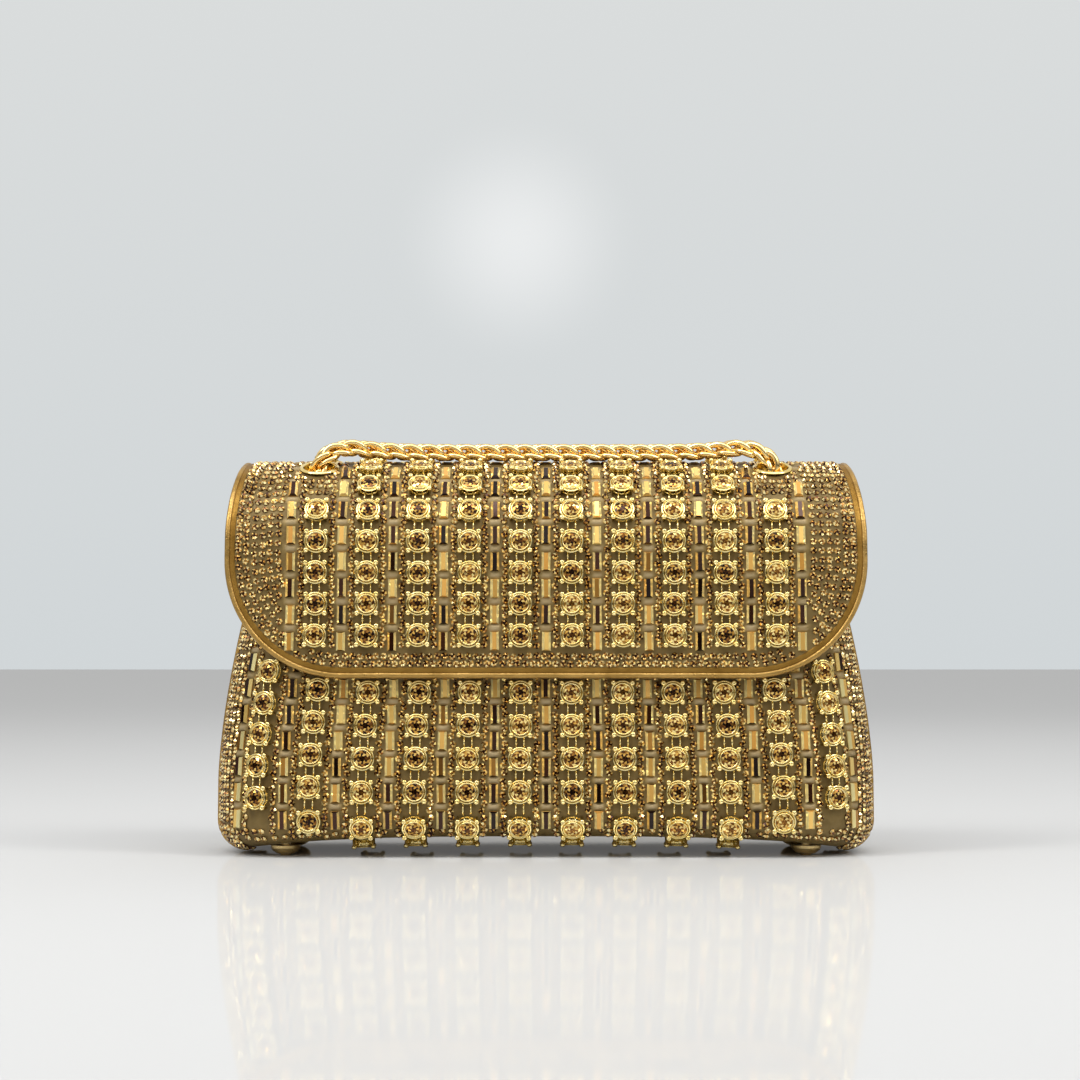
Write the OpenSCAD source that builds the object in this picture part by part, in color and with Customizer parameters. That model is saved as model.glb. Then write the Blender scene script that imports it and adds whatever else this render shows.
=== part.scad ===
// Small evening bag with an arched flap, rows of crystal settings and a chain strap.
// X runs across the bag, the front faces -Y, and the bag stands on its feet at Z = 0.

/* [Body] */
// Widest width of the body, over its walls
body_w = 219.6; // [212:0.2:226]
// How far the front wall stands before the middle, near the bottom
front_depth = 32; // [31:0.5:34]
// How far the back wall stands behind the middle
back_depth = 33; // [32:0.5:35]
// How far the front wall leans in from bottom to rim
front_lean = 8; // [7:0.5:9]
// Height of the rim at the front and sides
rim_z = 105; // [103:0.5:106]
// Height of the back wall under the flap's fold
fold_z = 99.5; // [98:0.1:99.7]
// Width of the flat side gussets
gusset_w = 14; // [12:1:16]
// Radius of the rounding along the bottom edge
bottom_round = 9; // [8:0.5:10]
// Height of the underside at the middle
bottom_z = 6.5; // [6:0.1:7]
// How much lower the underside hangs at its two ends
bottom_droop = 4.5; // [3:0.1:4.8]

/* [Flap] */
// Outer radius of the arch over the top
arch_r = 32; // [31.5:0.1:32.5]
// Height of the arch's axis
arch_z = 100.3; // [100:0.1:101]
// Outward lean of the flap's front, in degrees
flap_lean = 4.2; // [3:0.1:5]
// Length of the straight front of the flap
flap_leg = 43.6; // [42:0.1:45]
// Half the flap's width over the crest
flap_half_w = 103; // [101:0.5:105]
// Radius of the flap's lower corners
flap_corner_r = 39; // [36:0.5:41]

/* [Layers] */
// Thickness of the glue film that carries the small stones
film_t = 0.3; // [0.3:0.05:0.4]
// Thickness of the metallic leather
leather_t = 1.0; // [0.9:0.1:1.1]
// Thickness of the stiffening board
board_t = 1.2; // [1.1:0.1:1.3]
// Thickness of the lining
lining_t = 0.7; // [0.6:0.1:0.8]

/* [Settings] */
// Side of the square that a setting fills
setting_w = 8; // [7.6:0.1:8.1]
// Height of a setting above the film
setting_h = 3.4; // [3:0.1:3.6]
// Diameter of the ring of a setting
ring_d = 7.7; // [7.2:0.1:7.8]
// Diameter of the round crystal in a setting
crystal_d = 5.2; // [4.8:0.1:5.4]
// Spacing of the columns on the body, along the wall
body_pitch = 17.35; // [17:0.05:17.6]
// Spacing of the columns on the flap
flap_pitch = 16.9; // [16.6:0.1:17.1]
// Spacing of the settings along a column on the flap
flap_row_pitch = 10.4; // [10:0.1:10.6]
// Width of a bar-shaped mirror stone
bar_w = 2.95; // [2.6:0.05:3]
// Length of a bar-shaped mirror stone
bar_l = 6.2; // [5.6:0.1:6.4]
// Height of a bar-shaped mirror stone
bar_h = 1.3; // [1:0.1:1.5]

/* [Hardware] */
// Thickness of the chain
chain_d = 7; // [6.4:0.1:7]
// Diameter of the hole through an eyelet
eyelet_bore = 10.8; // [10.6:0.1:11]
// Diameter of an eyelet's flange
eyelet_d = 13.6; // [13:0.1:14]
// Diameter of a foot
foot_d = 10; // [9:0.5:11]
// Diameter of the magnetic closure
magnet_d = 14; // [12:0.5:16]

/* [Hidden] */

gold = [0.83, 0.66, 0.34];
bright_gold = [0.95, 0.82, 0.45];
taupe = [0.6, 0.55, 0.45];
topaz = [0.5, 0.33, 0.16];
mirror_copper = [0.85, 0.62, 0.42];
satin = [0.72, 0.6, 0.42];
board_grey = [0.55, 0.53, 0.5];

body_half = body_w / 2;
widest_z = 15;            // height at which the walls are set out
taper_from = 24;          // the sides lean in above this height
taper_k = 0.01278;        // how fast they lean in
taper_power = 1.6;
lean_span = 90;           // height over which the front wall's lean is given
arch_y = 1;               // the arch's axis stands this far behind the middle
arch_front = 90 - flap_lean;
inner_t = film_t + leather_t + board_t + lining_t;
leather_in = film_t + leather_t;
board_in = leather_in + board_t;
fine = 64;

// ---- The body's surface ------------------------------------------------

// Half-width of the walls, and how far the front wall stands out, at a height
function half_width(z) =
    body_half - (z > taper_from ? taper_k * pow(z - taper_from, taper_power) : 0);
function front_out(z) = front_depth - front_lean * (z - widest_z) / lean_span;

// The section at a height is a rectangle with big round corners
function mid_y(z) = (back_depth - front_out(z)) / 2;
function half_depth(z) = (back_depth + front_out(z)) / 2;
function corner_r(z) = half_depth(z) - gusset_w / 2;
function flat_half(z) = half_width(z) - corner_r(z);
function wall_run(z) = flat_half(z) + corner_r(z) * PI / 2;

// How far the wall has turned the corner, in degrees, at fraction g of its run
function turned(g, z) =
    max(0, min(90, (abs(g) * wall_run(z) - flat_half(z)) / corner_r(z) * 180 / PI));

// A point of the front or back wall (side = -1 or 1), seen from above
function plan(g, z, inset, side) =
    let (t = turned(g, z), r = corner_r(z),
         x = (t > 0 ? flat_half(z) : abs(g) * wall_run(z)) + (t > 0 ? (r - inset) * sin(t) : 0),
         y = half_depth(z) - r + (r - inset) * cos(t))
    [sign(g) * x, mid_y(z) + side * y];

// The underside droops towards the ends
function under_z(x) = bottom_z - bottom_droop * pow(min(1, abs(x) / body_half), 3);
function base_z(g) = under_z(plan(g, widest_z, 0, -1)[0]) + bottom_round;

// The back wall is lower where the flap folds, and rises round the corners
function top_z(g, side) =
    side < 0 ? rim_z : fold_z + (rim_z - fold_z) * pow(sin(turned(g, rim_z)), 4);

// v runs from -1, under the bottom edge, through 0 to 1 at the rim
function wall(g, v, inset, side) =
    let (base = base_z(g), z = v < 0 ? base : base + (top_z(g, side) - base) * v,
         a = max(-1, v) * -90, past = v < -1 ? (-1 - v) * bottom_round : 0,
         deep = v < 0 ? bottom_round - (bottom_round - inset) * cos(a) + past : inset,
         p = plan(g, z, deep, side))
    [p[0], p[1], v < 0 ? base - (bottom_round - inset) * sin(a) : z];

// v for a height on the wall
function v_at(g, z, side) =
    let (base = base_z(g))
    z >= base ? (z - base) / (top_z(g, side) - base)
              : -asin(min(1, (base - z) / bottom_round)) / 90;

// The side gusset between the two corners; w runs from -1 to 1 across it
function gusset(w, v, inset) =
    let (base = base_z(1), z = v < 0 ? base : base + (rim_z - base) * v, a = -90 * v,
         deep = v < 0 ? bottom_round - (bottom_round - inset) * cos(a) : inset,
         height = v < 0 ? base - (bottom_round - inset) * sin(a) : z)
    [half_width(z) - deep, mid_y(z) + w * gusset_w / 2, height];

// ---- The flap's surface ------------------------------------------------

// s runs along the flap from the crest, positive down the front
arch_front_len = arch_r * arch_front * PI / 180;
function flap_angle(s) = s > arch_front_len ? arch_front : s / arch_r * 180 / PI;
function flap_point(x, s, out) =
    let (a = flap_angle(s), r = arch_r + out, down = max(0, s - arch_front_len))
    [x, arch_y - r * sin(a) - down * cos(a), arch_z + r * cos(a) - down * sin(a)];

// The flap narrows from the crest towards the fold and flares down the front
back_taper = 19;
front_flare = 3.4;
function flap_half(y) =
    y > 0 ? flap_half_w - back_taper * pow(y / back_depth, 2)
          : flap_half_w + front_flare * pow(min(1, -y / 30), 1.5);
hem_z = arch_z + arch_r * cos(arch_front) - flap_leg * sin(arch_front);

// ---- General builders --------------------------------------------------

// Triangles between two rows of n points that start at i and j
function strip(i, j, n) =
    [for (k = [0:n - 2]) each [[i + k, i + k + 1, j + k + 1], [i + k, j + k + 1, j + k]]];
function reversed(faces) = [for (t = faces) [t[2], t[1], t[0]]];

// A thin shell between two grids of points; outer is seen from outside
// with its columns running clockwise
module shell(outer, inner) {
    rows = len(outer);
    cols = len(outer[0]);
    n = rows * cols;
    points = concat([for (r = outer) each r], [for (r = inner) each r]);
    rim_cols = concat(reversed(strip(0, n, cols)), strip(n - cols, 2 * n - cols, cols));
    rim_rows = [for (r = [0:rows - 2]) let (a = r * cols, b = a + cols - 1) each [
        [a, a + cols, n + a + cols], [a, n + a + cols, n + a],
        [b, n + b + cols, b + cols], [b, n + b, n + b + cols]]];
    outside = [for (r = [0:rows - 2]) each strip(r * cols, (r + 1) * cols, cols)];
    inside = [for (r = [0:rows - 2]) each strip(n + r * cols, n + (r + 1) * cols, cols)];
    polyhedron(points, reversed(concat(outside, reversed(inside), rim_cols, rim_rows)));
}

// A solid swept through closed loops of points, each with the same count
module sweep(loops) {
    n = len(loops[0]);
    m = len(loops);
    sides = [for (r = [0:m - 2], k = [0:n - 1]) let (a = r * n + k, b = r * n + (k + 1) % n) each [
        [a, b, b + n], [a, b + n, a + n]]];
    start = [for (k = [n - 1:-1:0]) k];
    end = [for (k = [0:n - 1]) (m - 1) * n + k];
    polyhedron([for (l = loops) each l], concat(sides, [start, end]));
}

function unit(v) = v / norm(v);

// Rings of a round tube along a route of points
function tube_loops(route, r, sides) =
    [for (i = [0:len(route) - 1])
        let (t = unit(route[min(i + 1, len(route) - 1)] - route[max(i - 1, 0)]),
             across = unit(cross(t, abs(t[2]) > 0.9 ? [0, 1, 0] : [0, 0, 1])),
             up = cross(across, t))
        [for (k = [0:sides - 1])
            let (a = 360 * k / sides) route[i] + r * (across * cos(a) + up * sin(a))]];

module both_sides() {
    children();
    mirror([1, 0, 0]) children();
}

// ---- Walls -------------------------------------------------------------

flat_steps = [for (i = [-3:3]) i / 3];
corner_steps = [1/6, 1/3, 1/2, 2/3, 5/6, 0.95, 1];
corner_at = flat_half(widest_z) / wall_run(widest_z);
g_steps = concat([for (i = [6:-1:0]) -corner_at - (1 - corner_at) * corner_steps[i]],
                 corner_at * flat_steps,
                 [for (c = corner_steps) corner_at + (1 - corner_at) * c]);
v_steps = [-1, -0.75, -0.5, -0.25, 0, 0.15, 0.3, 0.45, 0.6, 0.8, 0.92, 0.96, 1];

// One layer of the front or back wall between two depths. A layer that reaches
// less far keeps the steps of the full ones, so that its facets lie on theirs.
module wall_layer(side, from, to, g_reach = 1, v_low = -1, v_high = 1) {
    gs = [for (g = g_steps) if (abs(g) <= g_reach) -side * g];
    vs = [for (v = v_steps) if (v >= v_low && v <= v_high) v];
    shell([for (v = vs) [for (g = gs) wall(g, v, from, side)]],
          [for (v = vs) [for (g = gs) wall(g, v, to, side)]]);
}

// One layer of the right side gusset
module gusset_layer(from, to, w_reach = 1, v_low = -1, v_high = 1) {
    ws = [-w_reach, w_reach];
    vs = [for (v = v_steps) if (v >= v_low && v <= v_high) v];
    shell([for (v = vs) [for (w = ws) gusset(w, v, from)]],
          [for (v = vs) [for (w = ws) gusset(w, v, to)]]);
}

// One layer of the bottom, joining the two walls' lower edges
module bottom_layer(from, to, margin = 0) {
    reach = [for (g = g_steps) g * (1 - margin / 100)];
    function edge(g, depth, side) = wall(g, -1, depth, side) + [0, -side * margin, 0];
    rows = [[for (g = reach) edge(g, from, 1)], [for (g = reach) edge(g, from, -1)]];
    tops = [[for (g = reach) edge(g, to, 1)], [for (g = reach) edge(g, to, -1)]];
    shell(rows, tops);
}

// How far the layers reach, as fractions of a wall's run and height
board_reach = 0.97;
board_low = -0.75;
board_high = 0.96;
film_reach = 0.985;
side_film_reach = 0.8;
front_film_high = 0.6;
back_film_high = 0.92;

module front_panel() color(gold) wall_layer(-1, film_t, leather_in);
module back_panel() color(gold) wall_layer(1, film_t, leather_in);
module left_gusset() color(gold) mirror([1, 0, 0]) gusset_layer(film_t, leather_in);
module right_gusset() color(gold) gusset_layer(film_t, leather_in);
module front_board() color(board_grey)
    wall_layer(-1, leather_in, board_in, board_reach, board_low, board_high);
module back_board() color(board_grey)
    wall_layer(1, leather_in, board_in, board_reach, board_low, board_high);
module front_film() color(taupe) wall_layer(-1, 0, film_t, film_reach, -1, front_film_high);
module back_film() color(taupe) wall_layer(1, 0, film_t, film_reach, -1, back_film_high);
module side_films() color(taupe) both_sides()
    gusset_layer(0, film_t, side_film_reach, -1, back_film_high);
module front_lining() color(satin) wall_layer(-1, board_in, inner_t);
module back_lining() color(satin) wall_layer(1, board_in, inner_t);
module left_side_lining() color(satin) mirror([1, 0, 0]) gusset_layer(board_in, inner_t);
module right_side_lining() color(satin) gusset_layer(board_in, inner_t);

// The feet's studs pass through the bottom and its board
foot_x = 87;
foot_y = 18;
stud_r = 1.5;
stud_hole_r = 1.6;
module at_feet() for (x = [-foot_x, foot_x], y = [-foot_y, foot_y])
    translate([x, y, 0]) children();
module bottom_panel() color(gold) difference() {
    bottom_layer(film_t, leather_in);
    at_feet() cylinder(r = stud_hole_r, h = 12, $fn = fine);
}
module bottom_board() color(board_grey) difference() {
    bottom_layer(leather_in + 0.05, board_in, 2);
    at_feet() cylinder(r = stud_hole_r, h = 12, $fn = fine);
}
module bottom_lining() color(satin) bottom_layer(inner_t + 1.3, inner_t + 2, 1);

// Each foot is a dome with a small flat to stand on
foot_flat = 1.6;
foot_seat = 3.3;
washer_z = 7.15;
stud_top = 7.95;
module feet() color(bright_gold) at_feet() {
    rotate_extrude($fn = fine) polygon(concat(
        [[0, 0], [foot_flat, 0]],
        [for (a = [20:14:90]) [foot_d / 2 * sin(a), foot_d / 2 * (1 - cos(a)) * 0.62]],
        [[foot_d / 2, foot_seat], [stud_r, foot_seat], [stud_r, stud_top], [0, stud_top]]));
}
module foot_washers() color("silver") at_feet() translate([0, 0, washer_z]) difference() {
    cylinder(r = 4, h = 0.6, $fn = fine);
    translate([0, 0, -1]) cylinder(r = stud_hole_r, h = 3, $fn = fine);
}

// ---- Inside and edges --------------------------------------------------

// An open slip pocket sewn to the back lining
pocket_w = 120;
pocket_z = [30, 88];
pocket_gap = 4.9;
pocket_t = 0.9;
pocket_seam = 2;
module slip_pocket() color(satin)
    translate([-pocket_w / 2, back_depth - inner_t - 0.05, pocket_z[0]]) rotate([90, 0, 0]) difference() {
        cube([pocket_w, pocket_z[1] - pocket_z[0], pocket_gap + pocket_t]);
        translate([pocket_seam, pocket_seam, -1]) cube([pocket_w - 2 * pocket_seam, 80, pocket_gap + 1]);
    }

// A leather strip folded over the rim, round the front, the sides and the
// back corners
lip = 4.5;
function rim_loop(g, side) =
    let (top = top_z(g, side), out = -0.2, skin = film_t - 0.1, in = inner_t + 0.1, far = inner_t + 0.5,
         at = [[out, -lip], [out, 0.7], [far, 0.7], [far, -lip],
               [in, -lip], [in, 0.1], [skin, 0.1], [skin, -lip]])
    [for (q = at) let (p = plan(g, top + q[1], q[0], side)) [p[0], p[1], top + q[1]]];
module rim_binding() color(gold) {
    corner = [for (c = [0.42:0.145:1]) corner_at + (1 - corner_at) * c];
    n = len(corner) - 1;
    sweep(concat([for (g = corner) rim_loop(-g, 1)],
                 [for (g = g_steps) rim_loop(g, -1)],
                 [for (i = [n:-1:0]) rim_loop(corner[i], 1)]));
}

// A thin leather piping stands in each seam between wall and gusset
piping_r = 0.9;
module side_pipings() color(gold) both_sides() for (side = [-1, 1])
    sweep(tube_loops([for (v = v_steps) wall(1, v * (v > 0 ? 0.93 : 1), film_t - piping_r - 0.05, side)],
                     piping_r, 8));

// The leather strip along the fold of the flap
strip_reach = 0.66;
strip_t = 0.7;
module fold_strip() color(gold) {
    gs = [for (i = [3:-1:-3]) i / 3 * strip_reach];
    vs = [0.94, 0.998];
    shell([for (v = vs) [for (g = gs) wall(g, v, -strip_t, 1)]],
          [for (v = vs) [for (g = gs) wall(g, v, film_t, 1)]]);
}

// ---- Magnetic closure --------------------------------------------------

magnet_z = 77;
magnet_r = magnet_d / 2;
magnet_s = arch_front_len + (arch_z + arch_r * cos(arch_front) - magnet_z) / sin(arch_front);
wall_tilt = atan(front_lean / lean_span);
module at_socket(out) translate([0, -front_out(magnet_z), magnet_z])
    rotate([90 - wall_tilt, 0, 0]) translate([0, 0, out]) children();
module magnet_socket() color(bright_gold) at_socket(-film_t + 0.02) difference() {
    cylinder(r = magnet_r, h = 1.2, $fn = fine);
    translate([0, 0, 0.6]) cylinder(r = 3, h = 2, $fn = fine);
}
module magnet_socket_washer() color("silver") at_socket(-inner_t - 0.75) difference() {
    cylinder(r = magnet_r + 1, h = 0.7, $fn = fine);
    translate([0, 0, -1]) cylinder(r = 2, h = 3, $fn = fine);
}

// ---- Crystal settings --------------------------------------------------

// A round cup with a prong at each corner, open in the middle
prong_r = 0.9;
module setting() linear_extrude(setting_h) difference() {
    union() {
        circle(d = ring_d, $fn = fine);
        for (x = [-1, 1], y = [-1, 1])
            translate([x, y] * (setting_w / 2 - prong_r)) circle(r = prong_r, $fn = 24);
    }
    circle(d = crystal_d + 0.1, $fn = fine);
}
// A cut stone that tapers to its point below and to a flat table on top
point_z = 0.6;
girdle_z = 2.4;
table_z = 3.1;
table_r = 1.5;
module crystal() rotate_extrude($fn = 24)
    polygon([[0, point_z], [0.4, point_z], [crystal_d / 2, girdle_z], [crystal_d / 2, girdle_z + 0.2],
             [table_r, table_z], [0, table_z]]);
bar_bevel = 0.8;
module bar() translate([0, bar_l / 2, 0]) rotate([90, 0, 0]) linear_extrude(bar_l)
    polygon([[-bar_w / 2, 0], [bar_w / 2, 0],
             [bar_w / 2 - bar_bevel, bar_h], [bar_bevel - bar_w / 2, bar_h]]);
// Two wires link one setting to the next
wire_x = 1.3;
wire_z = 1.4;
wire_r = 0.3;
wall_wire_l = 2.6;
flap_wire_l = 2.1;
module wires(length) for (x = [-wire_x, wire_x])
    translate([x, length / 2, wire_z]) rotate([90, 0, 0]) cylinder(r = wire_r, h = length, $fn = 16);

// Columns on the walls, counted from the middle. Each has the height of the
// fifth setting from the bottom, and a row pitch.
columns = [[54.2, 10.9], [54.2, 10.9], [54.2, 10.9], [54.2, 10.9], [55.1, 10.65], [61.1, 10.35]];
wall_run_0 = wall_run(widest_z);
function column_rows(k, count) =
    let (c = columns[k]) [for (i = [0:count - 1]) c[0] + c[1] * (count - 5 - i)];
bar_row_pitch = 8.6;
bar_first_z = 12.6;

// Stands its children on a wall at fraction g and height z, facing out, a hair
// above the film
seat = 0.02;
module on_wall(g, z, side) {
    v = v_at(g, z, side);
    p = wall(g, v, 0, side);
    step = 0.002;
    du = wall(g + step, v, 0, side) - wall(g - step, v, 0, side);
    dv = wall(g, v + step, 0, side) - wall(g, v - step, 0, side);
    n = unit(cross(du, dv)) * -side;
    translate(p + seat * n) rotate([0, 0, atan2(n[0], -n[1])]) rotate([90 - asin(n[2]), 0, 0]) children();
}

// One more setting faces down, just under the front and back edges
module under_edge(g, side) {
    p = wall(g, -1.25, 0, side);
    translate(p - [0, 0, 0.1]) rotate([180, 0, 0]) children();
}

module at_wall_settings(side, count) for (k = [0:5], m = [-1, 1]) {
    g = m * (k + 0.5) * body_pitch / wall_run_0;
    for (z = column_rows(k, count)) on_wall(g, z, side) children();
    if (k < 4) under_edge(g, side) children();
}
module at_wall_bars(side, count) for (k = [-6:6], i = [0:count - 1])
    on_wall(k * body_pitch / wall_run_0, bar_first_z + bar_row_pitch * i, side) children();
module at_wall_gaps(side, count) for (k = [0:5], m = [-1, 1], i = [0:count - 2]) {
    rows = column_rows(k, count);
    on_wall(m * (k + 0.5) * body_pitch / wall_run_0, (rows[i] + rows[i + 1]) / 2, side) children();
}

module front_settings() color(bright_gold) at_wall_settings(-1, 5) setting();
module front_crystals() color(topaz) at_wall_settings(-1, 5) crystal();
module front_bars() color(mirror_copper) at_wall_bars(-1, 7) bar();
module front_wires() color(bright_gold) at_wall_gaps(-1, 5) wires(wall_wire_l);
module back_settings() color(bright_gold) at_wall_settings(1, 8) setting();
module back_crystals() color(topaz) at_wall_settings(1, 8) crystal();
module back_bars() color(mirror_copper) at_wall_bars(1, 9) bar();
module back_wires() color(bright_gold) at_wall_gaps(1, 8) wires(wall_wire_l);

// ---- Flap --------------------------------------------------------------

// The flap's side view between two distances out from its outer face
module flap_profile(low, high, s_end, back_cut = 0) {
    r1 = arch_r + low;
    r2 = arch_r + high;
    difference() {
        circle(r = r2, $fn = 128);
        circle(r = r1, $fn = 128);
        translate([0, -100 + back_cut]) square([100, 100]);
        rotate(-flap_lean) translate([-100, -100]) square([110, 100]);
    }
    rotate(180 - flap_lean) translate([r1, 0]) square([r2 - r1, s_end - arch_front_len]);
}
module flap_sheet(low, high, s_end, back_cut = 0)
    translate([0, arch_y, arch_z]) rotate([90, 0, 90])
        translate([0, 0, -120]) linear_extrude(240) flap_profile(low, high, s_end, back_cut);

// The outline from the front, with round lower corners
module hem_outline(margin) {
    low = hem_z + margin;
    r = flap_corner_r - margin;
    side_x = flap_half_w + front_flare - margin;
    mid = low + r;
    union() {
        translate([-120, mid]) square([240, 60]);
        translate([-side_x + r, low]) square([2 * (side_x - r), r + 1]);
        for (x = [-1, 1]) translate([x * (side_x - r), mid]) circle(r = r, $fn = 96);
    }
}
// The outline from above, narrower over the crest and towards the fold
module plan_outline(margin) {
    ys = [-40, -30, -24, -18, -12, -6, 0, 6, 12, 18, 24, 29, 36];
    polygon(concat([for (y = ys) [flap_half(y) - margin, y]],
                   [for (i = [len(ys) - 1:-1:0]) [margin - flap_half(ys[i]), ys[i]]]));
}
module flap_outline(margin) intersection() {
    translate([0, 60, 0]) rotate([90, 0, 0]) linear_extrude(120) hem_outline(margin);
    translate([0, 0, 40]) linear_extrude(110) plan_outline(margin);
}
module flap_piece(low, high, margin, back_cut = 0) intersection() {
    flap_sheet(low, high, 120, back_cut);
    flap_outline(margin);
}

// Eyelets stand square to the arch, near its crest
eyelet_x = 76.9;
eyelet_a = 22.5;
module at_eyelet(m) translate([m * eyelet_x, arch_y, arch_z]) rotate([eyelet_a, 0, 0]) children();
module eyelet_holes() for (m = [-1, 1]) at_eyelet(m)
    translate([0, 0, 20]) cylinder(d = eyelet_bore + 1, h = 20, $fn = fine);

module flap_leather() color(gold) difference() {
    flap_piece(-leather_in, -film_t, 0.7, 0.7);
    eyelet_holes();
}
module flap_board() color(board_grey) difference() {
    flap_piece(-board_in, -leather_in, 4, 4);
    eyelet_holes();
}
module flap_lining() color(satin) difference() {
    flap_piece(-inner_t, -board_in, 0.7, 0.7);
    eyelet_holes();
}
module flap_film() color(taupe) difference() {
    flap_piece(-film_t, 0, 3.5, 8);
    eyelet_holes();
}
// Leather wrapped round the flap's whole edge
binding_w = 3.4;
binding_t = 0.4;
module flap_binding() color(gold) difference() {
    flap_piece(-inner_t - binding_t, binding_t, 0);
    flap_outline(binding_w);
    flap_piece(-inner_t, -film_t, 0.7, -1);
}

module left_eyelet() eyelet(-1);
module right_eyelet() eyelet(1);
module eyelet(m) color(bright_gold) at_eyelet(m) translate([0, 0, arch_r]) rotate_extrude($fn = fine) {
    bore = eyelet_bore / 2;
    wall = bore + 0.4;
    flange = eyelet_d / 2;
    end = -inner_t - 1.7;
    polygon([[bore, end], [wall, end], [wall, 0.1], [flange, 0.1], [flange, 0.5], [flange - 0.5, 0.9],
             [wall, 0.9], [bore, 0.5]]);
}
module eyelet_washers() color("silver") for (m = [-1, 1]) at_eyelet(m)
    translate([0, 0, arch_r - inner_t - 1.6]) difference() {
        cylinder(d = eyelet_d, h = 0.6, $fn = fine);
        translate([0, 0, -1]) cylinder(d = eyelet_bore + 1, h = 3, $fn = fine);
    }

module on_flap(x, s) translate(flap_point(x, s, seat)) rotate([flap_angle(s), 0, 0]) children();
module magnet_plate() color(bright_gold) translate(flap_point(0, magnet_s, -inner_t - seat))
    rotate([flap_angle(magnet_s) + 180, 0, 0]) cylinder(r = magnet_r, h = 1.2, $fn = fine);

// Rows of settings count up from the hem; the chain lies in one row's place
first_s = 77.6;
chain_row = 7;
last_row = 12;
function flap_row(i) = first_s - flap_row_pitch * i - (i > chain_row ? 0.4 : 0);
function flap_has(k, i) = i != chain_row && (k < 4 || i < 5 || i > chain_row);
flap_bar_rows = [for (i = [0:13]) 79.4 - 8.8 * i];
function bar_fits(k, s) = abs(k) < 5 ? s < -1 || s > 12 : (s < -1 && s > -30) || s > 24;
module at_flap_settings() for (k = [0:4], m = [-1, 1], i = [0:last_row - 1])
    if (flap_has(k, i)) on_flap(m * (k + 0.5) * flap_pitch, flap_row(i)) children();
module at_flap_bars() for (k = [-5:5], s = flap_bar_rows)
    if (bar_fits(k, s)) on_flap(k * flap_pitch, s) children();
module at_flap_gaps() for (k = [0:4], m = [-1, 1], i = [0:last_row - 2])
    if (flap_has(k, i) && flap_has(k, i + 1))
        on_flap(m * (k + 0.5) * flap_pitch, (flap_row(i) + flap_row(i + 1)) / 2) children();

module flap_settings() color(bright_gold) at_flap_settings() setting();
module flap_crystals() color(topaz) at_flap_settings() crystal();
module flap_bars() color(mirror_copper) at_flap_bars() bar();
module flap_wires() color(bright_gold) at_flap_gaps() wires(flap_wire_l);

// ---- Chain and its fixings ---------------------------------------------

// Half of the run over the flap, from below the right eyelet to the middle
run_half = [[79, -7.4, 114], [78.6, -8.4, 119.5], [78, -9.6, 125], [77.3, -10.2, 128.8],
            [76.1, -10.9, 132.2], [73.2, -10.4, 134.9], [69.4, -9.3, 136.4], [65, -8, 136.7],
            [58, -6.4, 136.1], [47, -5.4, 135.6], [32, -5, 135.45], [16, -5, 135.45], [0, -5, 135.45]];
// From below the right eyelet down to the bottom and along it to a turn
drop = [[79, -7.4, 113.2], [79.3, -7.6, 100], [79.4, -8.6, 85], [79.4, -9.8, 70], [79.3, -11, 55],
        [79, -12.2, 42], [77.8, -13.2, 31], [75, -14, 22.5], [69.5, -14.6, 16.8], [62, -15, 14.8],
        [50, -15.2, 15], [38, -15.1, 15.2], [26.5, -14.9, 15.4], [18.9, -12.9, 15.5],
        [13.3, -7.3, 15.6], [11.3, -0.3, 15.6]];
// From the turn back along the bottom and up to the ring on the side
back = [[11.3, 1.1, 15.6], [13.3, 8.1, 15.6], [18.9, 13.5, 15.5], [26.5, 15.5, 15.4],
        [38, 15.6, 15.2], [52, 15.6, 15], [64, 15.2, 14.8], [74, 14.2, 15.4], [82, 12.6, 18.4],
        [87.5, 10.8, 24.5], [91, 9, 33], [93, 7.2, 44], [94, 5.4, 56], [94.3, 3.8, 68.8]];
function mirrored(route) =
    [for (i = [len(route) - 1:-1:0]) [-route[i][0], route[i][1], route[i][2]]];
chain_r = chain_d / 2;
left_half = mirrored(run_half);
module chain_run() color(bright_gold)
    sweep(tube_loops(concat(run_half, [for (i = [1:len(left_half) - 1]) left_half[i]]), chain_r, 8));
module right_chain_drop() color(bright_gold) sweep(tube_loops(drop, chain_r, 8));
module left_chain_drop() color(bright_gold) mirror([1, 0, 0]) right_chain_drop();
module right_chain_return() color(bright_gold) sweep(tube_loops(back, chain_r, 8));
module left_chain_return() color(bright_gold) mirror([1, 0, 0]) right_chain_return();

// A D-ring hangs in a leather tab riveted to each side
ring_x = 94.1;
ring_y = 3.8;
ring_z = 86.4;
tab_lean = 13.6;
bar_r = 1;
d_half = 8;
d_shank = 2;
link_r = 4;
link_hang = 2;
link_wire = 0.9;
module at_tab() translate([ring_x, ring_y, ring_z]) rotate([0, -tab_lean, 0]) children();
tab_w = 11;
tab_t = 1.2;
tab_l = 13.5;
module ring_tab() color(gold) at_tab()
    translate([0, tab_w / 2, 0]) rotate([90, 0, 0]) linear_extrude(tab_w) difference() {
        union() {
            circle(r = 2 * tab_t, $fn = fine);
            translate([tab_t, 0]) square([tab_t, tab_l]);
        }
        circle(r = bar_r + 0.08, $fn = fine);
    }
module tab_rivet() color(bright_gold) at_tab()
    translate([tab_t - seat, 0, 10]) rotate([0, -90, 0]) cylinder(r1 = 2.6, r2 = 1.6, h = 1, $fn = fine);
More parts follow.
